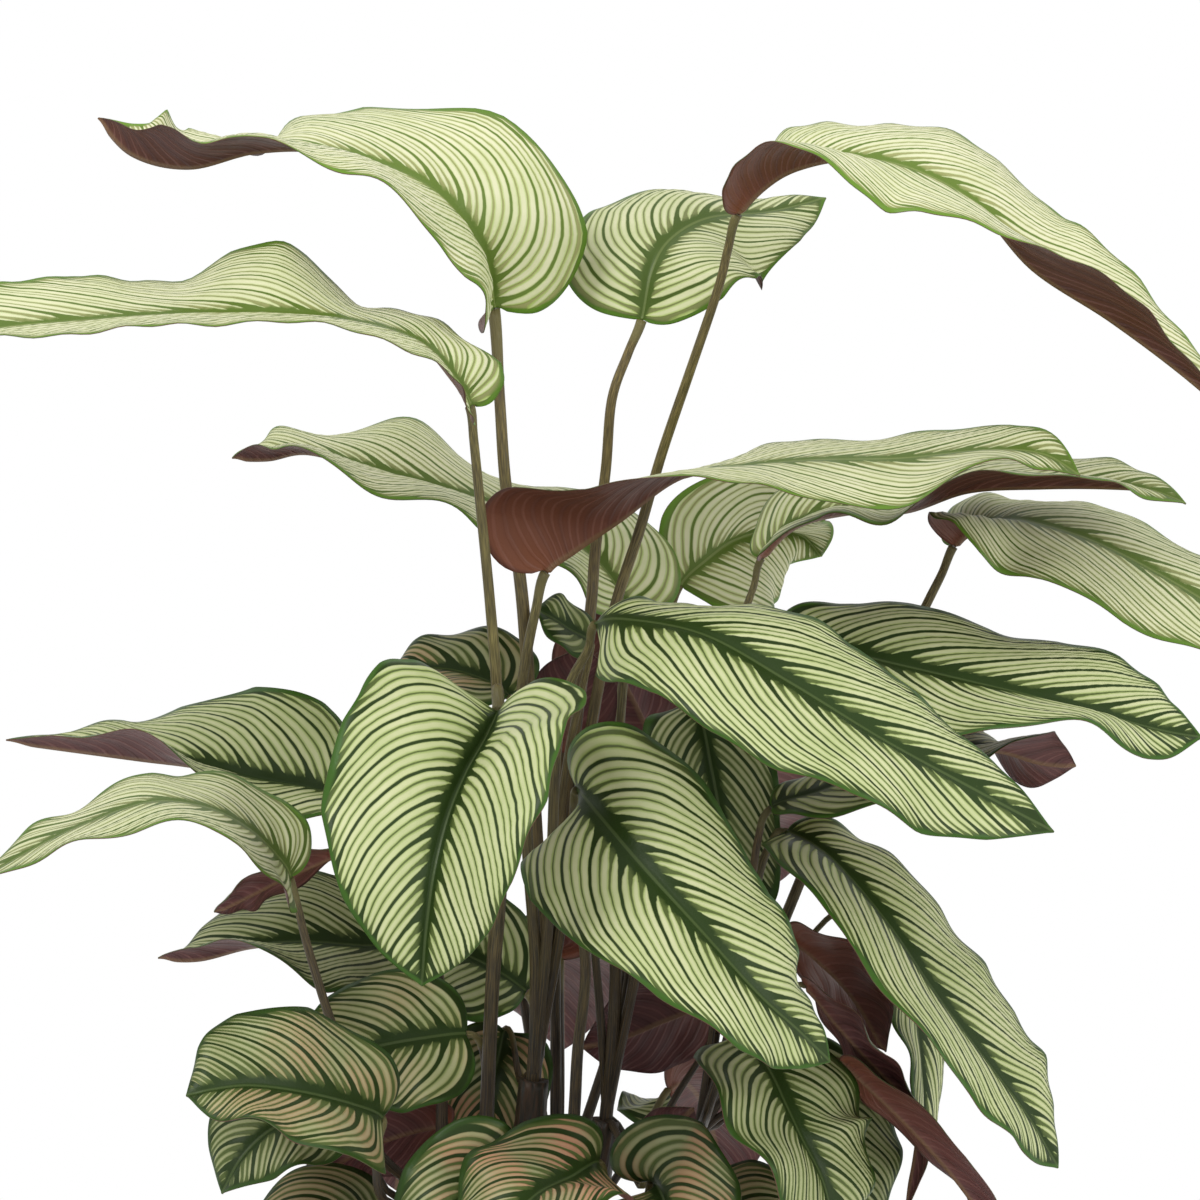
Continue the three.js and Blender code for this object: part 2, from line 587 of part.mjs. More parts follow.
// A round tube through the centres, with a radius at each, closed at both ends. Its first end can be
// given the way that it faces.
function makeTube(centres, radii, sides, firstHeading = null) {
  const points = [];
  const faces = [];
  let sideways = new THREE.Vector3(1, 0, 0);
  centres.forEach((centre, ring) => {
    const behind = centres[Math.max(ring - 1, 0)];
    const ahead = centres[Math.min(ring + 1, centres.length - 1)];
    const heading = ring === 0 && firstHeading ? firstHeading : ahead.clone().sub(behind).normalize();
    sideways = sideways.clone().addScaledVector(heading, -sideways.dot(heading)).normalize();
    const third = new THREE.Vector3().crossVectors(heading, sideways);
    for (let side = 0; side < sides; side += 1) {
      const angle = (2 * Math.PI * side) / sides;
      const spoke = sideways.clone().multiplyScalar(Math.cos(angle)).addScaledVector(third, Math.sin(angle));
      points.push(centre.clone().addScaledVector(spoke, radii[ring]));
    }
  });
  for (let ring = 0; ring < centres.length - 1; ring += 1) {
    for (let side = 0; side < sides; side += 1) {
      const next = (side + 1) % sides;
      const [a, b] = [ring * sides + side, ring * sides + next];
      faces.push([a, b, b + sides], [a, b + sides, a + sides]);
    }
  }
  const first = points.push(centres[0].clone()) - 1;
  const last = points.push(centres[centres.length - 1].clone()) - 1;
  const lastRing = (centres.length - 1) * sides;
  for (let side = 0; side < sides; side += 1) {
    const next = (side + 1) % sides;
    faces.push([first, next, side], [last, lastRing + side, lastRing + next]);
  }
  return makeSolid(points, faces);
}

// A turned body from its outline of [radius, height] points, closed on the axis at both ends.
function makeTurned(outline, sides, rough = () => 0) {
  const rings = outline.slice(1, -1);
  const ends = [outline[0], outline[outline.length - 1]];
  const points = ends.map(([, height]) => new THREE.Vector3(0, 0, height));
  rings.forEach(([radius, height], ring) => {
    for (let side = 0; side < sides; side += 1) {
      const angle = (2 * Math.PI * side) / sides;
      const lift = height + rough(ring, side);
      points.push(new THREE.Vector3(radius * Math.cos(angle), radius * Math.sin(angle), lift));
    }
  });
  const faces = [];
  const corner = (ring, side) => 2 + ring * sides + (side % sides);
  for (let side = 0; side < sides; side += 1) {
    faces.push([0, corner(0, side + 1), corner(0, side)]);
    for (let ring = 0; ring < rings.length - 1; ring += 1) {
      faces.push([corner(ring, side), corner(ring, side + 1), corner(ring + 1, side + 1)]);
      faces.push([corner(ring, side), corner(ring + 1, side + 1), corner(ring + 1, side)]);
    }
    faces.push([1, corner(rings.length - 1, side), corner(rings.length - 1, side + 1)]);
  }
  return makeSolid(points, faces);
}

// The radius of the pot's outer wall at a height, below its rim.
function wallRadius(height) {
  const shoulder = POT_HEIGHT - RIM_DROP;
  const shoulderRadius = POT_TOP_RADIUS - RIM_STEP - RIM_SLOPE;
  return POT_BASE_RADIUS + ((shoulderRadius - POT_BASE_RADIUS) * height) / shoulder;
}

const wasm = await Module();
wasm.setup();

function toManifold(geometry) {
  const points = Float32Array.from(geometry.getAttribute("position").array);
  const faces = Uint32Array.from(geometry.index.array);
  return new wasm.Manifold(new wasm.Mesh({ numProp: 3, vertProperties: points, triVerts: faces }));
}

function fromManifold(solid) {
  const mesh = solid.getMesh();
  const geometry = new THREE.BufferGeometry();
  geometry.setAttribute("position", new THREE.Float32BufferAttribute(mesh.vertProperties, 3));
  geometry.setIndex(new THREE.Uint32BufferAttribute(mesh.triVerts, 1));
  return geometry;
}

// A thin-walled nursery pot with a rolled-out rim band and drain holes in its floor.
function makePot() {
  const shoulder = POT_HEIGHT - RIM_DROP;
  const outer = makeTurned([
    [0, 0],
    [POT_BASE_RADIUS, 0],
    [wallRadius(shoulder), shoulder],
    [wallRadius(shoulder) + RIM_STEP, shoulder + RIM_SLOPE],
    [POT_TOP_RADIUS, POT_HEIGHT],
    [0, POT_HEIGHT],
  ], POT_SIDES);
  const inner = makeTurned([
    [0, POT_FLOOR],
    [wallRadius(POT_FLOOR) - POT_WALL, POT_FLOOR],
    [wallRadius(shoulder) - POT_WALL, shoulder],
    [POT_TOP_RADIUS - POT_WALL, POT_HEIGHT + CUT_OVER],
    [0, POT_HEIGHT + CUT_OVER],
  ], POT_SIDES);
  let pot = toManifold(outer).subtract(toManifold(inner));
  for (let drain = 0; drain < DRAIN_COUNT; drain += 1) {
    const angle = (2 * Math.PI * drain) / DRAIN_COUNT;
    const [x, y] = [DRAIN_RING * Math.cos(angle), DRAIN_RING * Math.sin(angle)];
    const ends = [-CUT_OVER, POT_FLOOR + CUT_OVER].map((height) => new THREE.Vector3(x, y, height));
    pot = pot.subtract(toManifold(makeTube(ends, [DRAIN_RADIUS, DRAIN_RADIUS], DRAIN_SIDES)));
  }
  return fromManifold(pot);
}

// The crown of a shoot: its line from below the soil up to the neck that the stalks leave.
function crownLine(shoot) {
  const [x, y] = shoot.soil;
  const foot = new THREE.Vector3(x, y, SOIL_TOP - HOLE_DEPTH + SOIL_GAP);
  const top = new THREE.Vector3(x, y, SOIL_TOP + CROWN_STRAIGHT);
  return [foot, top, place(shoot.neck)];
}

function crownRadius(shoot) {
  const count = LEAVES.filter((leaf) => leaf.shoot === shoot.name).length;
  return CROWN_RADIUS_PER_ROOT_STALK * Math.sqrt(count);
}

// Packed soil with a crumbly top and a plain hole for each shoot.
function makeSoil() {
  const random = makeRandom(SEED);
  const floor = POT_FLOOR + SOIL_GAP;
  const shoulder = POT_HEIGHT - RIM_DROP;
  const inset = POT_WALL + SOIL_GAP + SOIL_INSET;
  const edge = wallRadius(shoulder) - inset;
  const outline = [[0, floor], [wallRadius(floor) - inset, floor], [edge, shoulder]];
  outline.push([edge, SOIL_TOP - SOIL_SHOULDER]);
  for (let ring = SOIL_RINGS - 1; ring > 0; ring -= 1) {
    outline.push([(edge * ring) / SOIL_RINGS, SOIL_TOP]);
  }
  outline.push([0, SOIL_TOP]);
  const crumbs = (ring) => (ring < SOIL_SMOOTH_RINGS ? 0 : SOIL_ROUGHNESS * (random() - 0.5));
  let soil = toManifold(makeTurned(outline, SOIL_SIDES, crumbs));
  for (const shoot of SHOOTS) {
    const [foot, top] = crownLine(shoot);
    const wide = crownRadius(shoot) * CROWN_FLARE + HOLE_GAP;
    foot.z -= SOIL_GAP;
    soil = soil.subtract(toManifold(makeTube([foot, top], [wide, wide], CROWN_SIDES)));
  }
  return fromManifold(soil);
}

// The stalk of one leaf, from inside its shoot's crown up to just short of its blade.
function makeStalk(leaf, shoot) {
  const [, top, neck] = crownLine(shoot);
  const sunk = neck.clone().lerp(top, STALK_SUNK);
  const base = place(leaf.rib[0]);
  const rib = place(leaf.rib[1]);
  const line = [base, ...leaf.stalk.map(place), neck, sunk];
  const chords = line.slice(1).map((point, index) => point.distanceTo(line[index]));
  const length = chords.reduce((sum, chord) => sum + chord, 0);
  const count = Math.max(Math.round(length / STALK_STEP), line.length);
  const tip = Math.max(leaf.width * STALK_TIP_SHARE, STALK_TIP_LEAST);
  const centres = [];
  const radii = [];
  for (let step = 0; step <= count; step += 1) {
    const share = step / count;
    const swell = Math.max(0, 1 - (share * length) / PULVINUS_LENGTH) * PULVINUS_SWELL;
    centres.push(alongLine(line, rib, straightOn(sunk, neck), share));
    radii.push(tip * (1 + swell) + STALK_GROWTH * share);
  }
  const downwards = line[1].clone().sub(rib).normalize();
  centres[0].addScaledVector(downwards, BLADE_GAP);
  return makeTube(centres, radii, STALK_SIDES, downwards);
}

// A shoot: its crown of leaf sheaths, with the stalks of its leaves grown from it.
function makeShoot(shoot) {
  const wide = crownRadius(shoot);
  const [foot, top, neck] = crownLine(shoot);
  const middle = top.clone().lerp(neck, CROWN_BEND);
  const radii = [wide * CROWN_FLARE, wide * CROWN_FLARE, wide, wide * CROWN_NECK];
  let solid = toManifold(makeTube([foot, top, middle, neck], radii, CROWN_SIDES));
  for (const leaf of LEAVES.filter((each) => each.shoot === shoot.name)) {
    solid = solid.add(toManifold(makeStalk(leaf, shoot)));
  }
  return fromManifold(solid);
}

// How wide a blade is at share t of its length, as a share of its full width.
function bladeShare(t, widest) {
  if (t < widest) {
    return (1 - (1 - t / widest) ** SWELL_POWER) ** SWELL_ROUND;
  }
  return 1 - ((t - widest) / (1 - widest)) ** TAPER_POWER;
}

// The two directions, right and left, in which a blade leaves its rib at a station.
function sideDirections(heading, roll, fold) {
  const right = new THREE.Vector3().crossVectors(VIEW_AXIS, heading).normalize();
  const front = new THREE.Vector3().crossVectors(right, heading);
  const lean = (angle, sign) => right.clone().multiplyScalar(sign * Math.cos(angle))
    .addScaledVector(front, Math.sin(angle));
  const turn = THREE.MathUtils.degToRad(roll);
  const lift = THREE.MathUtils.degToRad(fold);
  return [lean(lift + turn, 1), lean(lift - turn, -1)];
}

// One blade: a thin sheet about its rib, folded, rolled and waved as its stations say.
function makeBlade(leaf) {
  const stations = leaf.rib.map(place);
  const before = place(leaf.stalk[0]);
  const after = straightOn(stations[stations.length - 1], stations[stations.length - 2]);
  const guides = [before, ...stations, after];
  const sides = stations.map((station, index) => {
    const heading = guides[index + 2].clone().sub(guides[index]).normalize();
    return sideDirections(heading, leaf.rib[index][3], leaf.rib[index][4]);
  });
  const spans = stations.length - 1;
  const upper = [];
  const lower = [];
  for (let row = 0; row <= leaf.rows; row += 1) {
    const t = (row / leaf.rows) ** ROW_CROWDING;
    const centre = alongLine(stations, before, after, t);
    const near = alongLine(stations, before, after, Math.max(t - HEADING_STEP, 0));
    const far = alongLine(stations, before, after, Math.min(t + HEADING_STEP, 1));
    const heading = far.sub(near).normalize();
    const span = Math.min(Math.floor(t * spans), spans - 1);
    const blend = t * spans - span;
    const half = Math.max((leaf.width / 2) * bladeShare(t, leaf.widest), 0);
    const towardsBase = half * Math.max(0, 1 - t / leaf.widest);
    const steady = Math.sqrt(Math.max(0, Math.sin(Math.PI * t)));
    const rib = BLADE_RIB_HALF + BLADE_BASE_HALF * (1 - t) ** 3;
    for (let cell = -BLADE_CELLS; cell <= BLADE_CELLS; cell += 1) {
      const s = Math.abs(cell) / BLADE_CELLS;
      const hand = cell < 0 ? 1 : 0;
      const out = sides[span][hand].clone().lerp(sides[span + 1][hand], blend);
      out.addScaledVector(heading, -out.dot(heading)).normalize();
      const normal = new THREE.Vector3().crossVectors(out, heading).multiplyScalar(hand ? -1 : 1);
      const least = row === 0 ? leaf.width * STALK_TIP_SHARE : BLADE_TIP_WIDTH / 2;
      const reach = Math.max(half, least) * s;
      const phase = leaf.wave[2] + (hand ? WAVE_OFFSET : 0);
      const wave = leaf.wave[0] * steady * s ** WAVE_RISE * Math.sin(2 * Math.PI * leaf.wave[1] * t + phase);
      const dome = 4 * s * (1 - s) * leaf.arch * half;
      const swept = leaf.lobes[hand] * towardsBase * s * s;
      const point = centre.clone().addScaledVector(out, reach).addScaledVector(heading, -swept);
      point.addScaledVector(normal, dome + wave);
      const facing = cell === 0 ? middleNormal(sides, span, blend, heading) : normal;
      const thick = rib + (BLADE_EDGE_HALF - rib) * Math.min(1, s / RIB_BAND);
      upper.push(point.clone().addScaledVector(facing, thick));
      lower.push(point.clone().addScaledVector(facing, -thick));
    }
  }
  return sheetSolid(upper, lower, leaf.rows, 2 * BLADE_CELLS);
}

// The normal on the rib: halfway between those of the two halves.
function middleNormal(sides, span, blend, heading) {
  const [right, left] = [0, 1].map((hand) => sides[span][hand].clone().lerp(sides[span + 1][hand], blend));
  return new THREE.Vector3().crossVectors(right.sub(left), heading).normalize();
}

// A closed sheet from two grids of points that are split into triangles alike.
function sheetSolid(upper, lower, rows, cells) {
  const under = upper.length;
  const at = (row, cell) => row * (cells + 1) + cell;
  const faces = [];
  for (let row = 0; row < rows; row += 1) {
    for (let cell = 0; cell < cells; cell += 1) {
      const corners = [at(row, cell), at(row, cell + 1), at(row + 1, cell + 1), at(row + 1, cell)];
      const [a, b, c, d] = corners;
      const halves = cell < cells / 2 ? [[a, b, c], [a, c, d]] : [[a, b, d], [b, c, d]];
      for (const [p, q, r] of halves) {
        faces.push([p, q, r], [p + under, r + under, q + under]);
      }
    }
    closeRim(faces, at(row + 1, 0), at(row, 0), under);
    closeRim(faces, at(row, cells), at(row + 1, cells), under);
  }
  for (let cell = 0; cell < cells; cell += 1) {
    closeRim(faces, at(0, cell), at(0, cell + 1), under);
    closeRim(faces, at(rows, cell + 1), at(rows, cell), under);
  }
  return makeSolid([...upper, ...lower], faces);
}

function closeRim(faces, from, to, under) {
  faces.push([to, from, from + under], [to, from + under, to + under]);
}

function addMesh(group, name, geometry, color, roughness) {
  const mesh = new THREE.Mesh(geometry, new THREE.MeshStandardMaterial({ color, roughness, metalness: 0 }));
  mesh.name = name;
  group.add(mesh);
}

const plant = new THREE.Group();
addMesh(plant, "pot", makePot(), 0x2e3033, 0.55);
addMesh(plant, "soil", makeSoil(), 0x3a2a20, 0.9);
for (const shoot of SHOOTS) {
  addMesh(plant, `shoot_${shoot.name}`, makeShoot(shoot), 0x6b5a34, 0.45);
}
for (const leaf of LEAVES) {
  addMesh(plant, `leaf_${leaf.name}`, makeBlade(leaf), 0x8fae74, 0.42);
}

export default plant;
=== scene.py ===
import math

import bpy
import numpy as np
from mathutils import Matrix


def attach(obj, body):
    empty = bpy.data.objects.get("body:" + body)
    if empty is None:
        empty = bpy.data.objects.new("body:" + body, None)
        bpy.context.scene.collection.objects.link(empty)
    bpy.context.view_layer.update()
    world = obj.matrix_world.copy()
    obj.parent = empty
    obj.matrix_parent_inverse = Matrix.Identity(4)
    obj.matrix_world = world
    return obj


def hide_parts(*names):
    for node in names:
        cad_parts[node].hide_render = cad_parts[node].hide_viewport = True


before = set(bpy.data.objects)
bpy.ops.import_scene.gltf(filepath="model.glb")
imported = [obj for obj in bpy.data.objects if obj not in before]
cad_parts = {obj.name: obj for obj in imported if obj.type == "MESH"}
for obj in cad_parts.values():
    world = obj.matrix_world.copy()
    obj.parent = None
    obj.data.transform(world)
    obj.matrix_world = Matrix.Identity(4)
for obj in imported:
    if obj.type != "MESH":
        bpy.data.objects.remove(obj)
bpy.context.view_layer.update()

MM = 0.001

# The view, as in the solids' source: level across, looking along +Y and down by this much
VIEW_DROP = math.radians(7)
VIEW_DISTANCE = 2600
AIM = np.array([27.0, 0.0, 565.0])
VIEW_WIDTH = 600
SENSOR_WIDTH = 36

# Pot and soil, in millimetres, as in the solids' source
POT_HEIGHT = 190
POT_TOP_RADIUS = 105
POT_BASE_RADIUS = 78
POT_WALL = 2.2
POT_FLOOR = 3
RIM_DROP = 26
RIM_STEP = 2.6
RIM_SLOPE = 1
SHOULDER = POT_HEIGHT - RIM_DROP
SOIL_TOP = 175
HOLE_DEPTH = 24
HOLE_GAP = 0.4
SOIL_GAP = 0.3
SOIL_INSET = 0.4
SOIL_SHOULDER = 4
DRAIN_COUNT = 8
DRAIN_RADIUS = 6
DRAIN_RING = 58

# Shoots and stalks, as in the solids' source
CROWN_RADIUS_PER_ROOT_STALK = 3.3
CROWN_FLARE = 1.2
CROWN_NECK = 0.8
CROWN_STRAIGHT = 8.0
CROWN_BEND = 0.4
STALK_TIP_SHARE = 0.0185
STALK_TIP_LEAST = 1.25
STALK_GROWTH = 1.3
PULVINUS_LENGTH = 38
PULVINUS_SWELL = 0.22
STALK_SUNK = 0.45
BLADE_GAP = 0.3

# Blades, as in the solids' source
BLADE_RIB_HALF = 0.45
BLADE_BASE_HALF = 0.7
BLADE_EDGE_HALF = 0.22
BLADE_TIP_WIDTH = 0.8
ROW_CROWDING = 1.2
HEADING_STEP = 0.01
SWELL_POWER = 2.2
SWELL_ROUND = 0.7
TAPER_POWER = 2.3
WAVE_RISE = 1.5
WAVE_OFFSET = 1.3

# Fineness of the blades, and the relief on them that only the picture needs
BLADE_ROWS = 104
BLADE_CELLS = 15
CELL_CROWDING = 1.15
PLEAT_HEIGHT = 0.45
PLEAT_STARTS = (2, 10)
PLEAT_ENDS = 8
RIPPLE_HEIGHT = 0.8
RIPPLE_LENGTH = 27
RIPPLE_OFFSET = 2.1
RIPPLE_WIDTHS = (6, 26)
SCALLOP_DEPTH = 1.2
SCALLOP_LENGTH = 30
SCALLOP_WIDTHS = (10, 30)
GROOVE_DEPTH = 0.5
GROOVE_REACH = 2.2
KEEL_HEIGHT = 0.9
KEEL_REACH = 1.6
RIB_WIDTHS = (2, 12)
RIB_NARROWNESS = 4
MEAN_PULL = 0.35
MEAN_REACH = 3

# Fineness of the other pieces, and how the soil and its crumbs lie
POT_SIDES = 160
POT_EDGE_ROUND = 0.8
DRAIN_SIDES = 28
CUT_OVER = 2
SOIL_SIDES = 150
SOIL_RINGS = 60
SOIL_WAVES = 26
SOIL_ROUGHNESS = 1.2
HOLE_ROUND = 1.5
HOLE_SHOWN = 8
CRUMBS = 2600
CRUMB_SIZE = 2.6
CRUMB_CLEARANCE = 1.5
SEED = 7
STALK_SIDES = 14
STALK_STEP = 7
STALK_LEAST_STEPS = 12
CROWN_SIDES = 40
CROWN_ROWS = 48
CROWN_LIFT = 0.3

# Markings on the blades, in millimetres
STRIPE = 4.6
STRIPES_PER_GROUP = 3
VEIN_WOBBLE = 1.8
HEART_AT_BASE = 0.10
HEART_AT_TIP = 0.045
HEART_FALL = 1.3
VEIN_START = 0.8
VEIN_LEAN = 0.45
VEIN_LEAN_GROWTH = 1.6
SLENDER_POWER = 0.7
USUAL_SLENDERNESS = 1.6

# Between these heights blades turn from painted shade to their lit colours, and stalks from dark brown,
# darkened further by painted shade, to olive
LIT_HEIGHTS = (270, 440)
ALOFT_HEIGHTS = (300, 560)
# Inner blades keep only this share of the painted light, as painted shade under the blades around them
INNER_LIGHT = 0.35

# How pale the lines of the paler blades are, from dark green (0) to olive (1); partly the blades' own
# colour, and partly painted light that brightens blades lying in shade, such as middle_back and twisted
USUAL_PALENESS = 0.12
PALENESS = {
    "top_left": 1.0, "top_right": 1.0, "upper_left": 0.8, "top_middle": 0.5, "twisted": 0.75,
    "middle_left": 0.7, "middle_back": 0.85, "long_right": 0.7, "far_right": 0.7, "left_arched": 0.65,
}

# Blades behind the shoots, whose striped face looks up and backwards
TOP_FACES_BACK = {"back_upper", "back_left", "back_right", "back_low", "back_low_left", "back_low_right"}

# How far along a blade the painted red light shining through its base reaches, where that is further than
# usual
USUAL_BACKLIGHT_REACH = 0.14
BACKLIGHT_REACH = {"right_underside": 0.5, "low_right_dark": 0.3}

# Blades whose edges are scalloped more deeply than the others
SCALLOPED = {"top_left": 3.6, "upper_left": 1.8, "left_raised": 1.8, "low_left_front": 1.5}

# Floor, backdrop and light
FLOOR_RADIUS = 840
FLOOR_DROP = 0.5
FLOOR_SIDES = 96
BACKDROP_RADIUS = 8000
BACKDROP_SIDES = 48
WORLD_LIGHT = 0.84
KEY_LIGHT = 38
FILL_LIGHT = 24

# Each shoot: where it leaves the soil, and the neck that its stalks leave, as across, up and depth
SHOOTS = [
    {"name": "far_left", "soil": (-52, -10), "neck": (-52, 258, -18)},
    {"name": "left", "soil": (-33, -24), "neck": (-30, 290, -27)},
    {"name": "centre_left", "soil": (-17, 13), "neck": (-6, 325, 10)},
    {"name": "front", "soil": (2, -24), "neck": (14, 305, -32)},
    {"name": "centre_right", "soil": (12, 14), "neck": (30, 305, 14)},
    {"name": "right", "soil": (40, -6), "neck": (76, 296, 0)},
    {"name": "back", "soil": (0, 48), "neck": (5, 260, 60)},
]

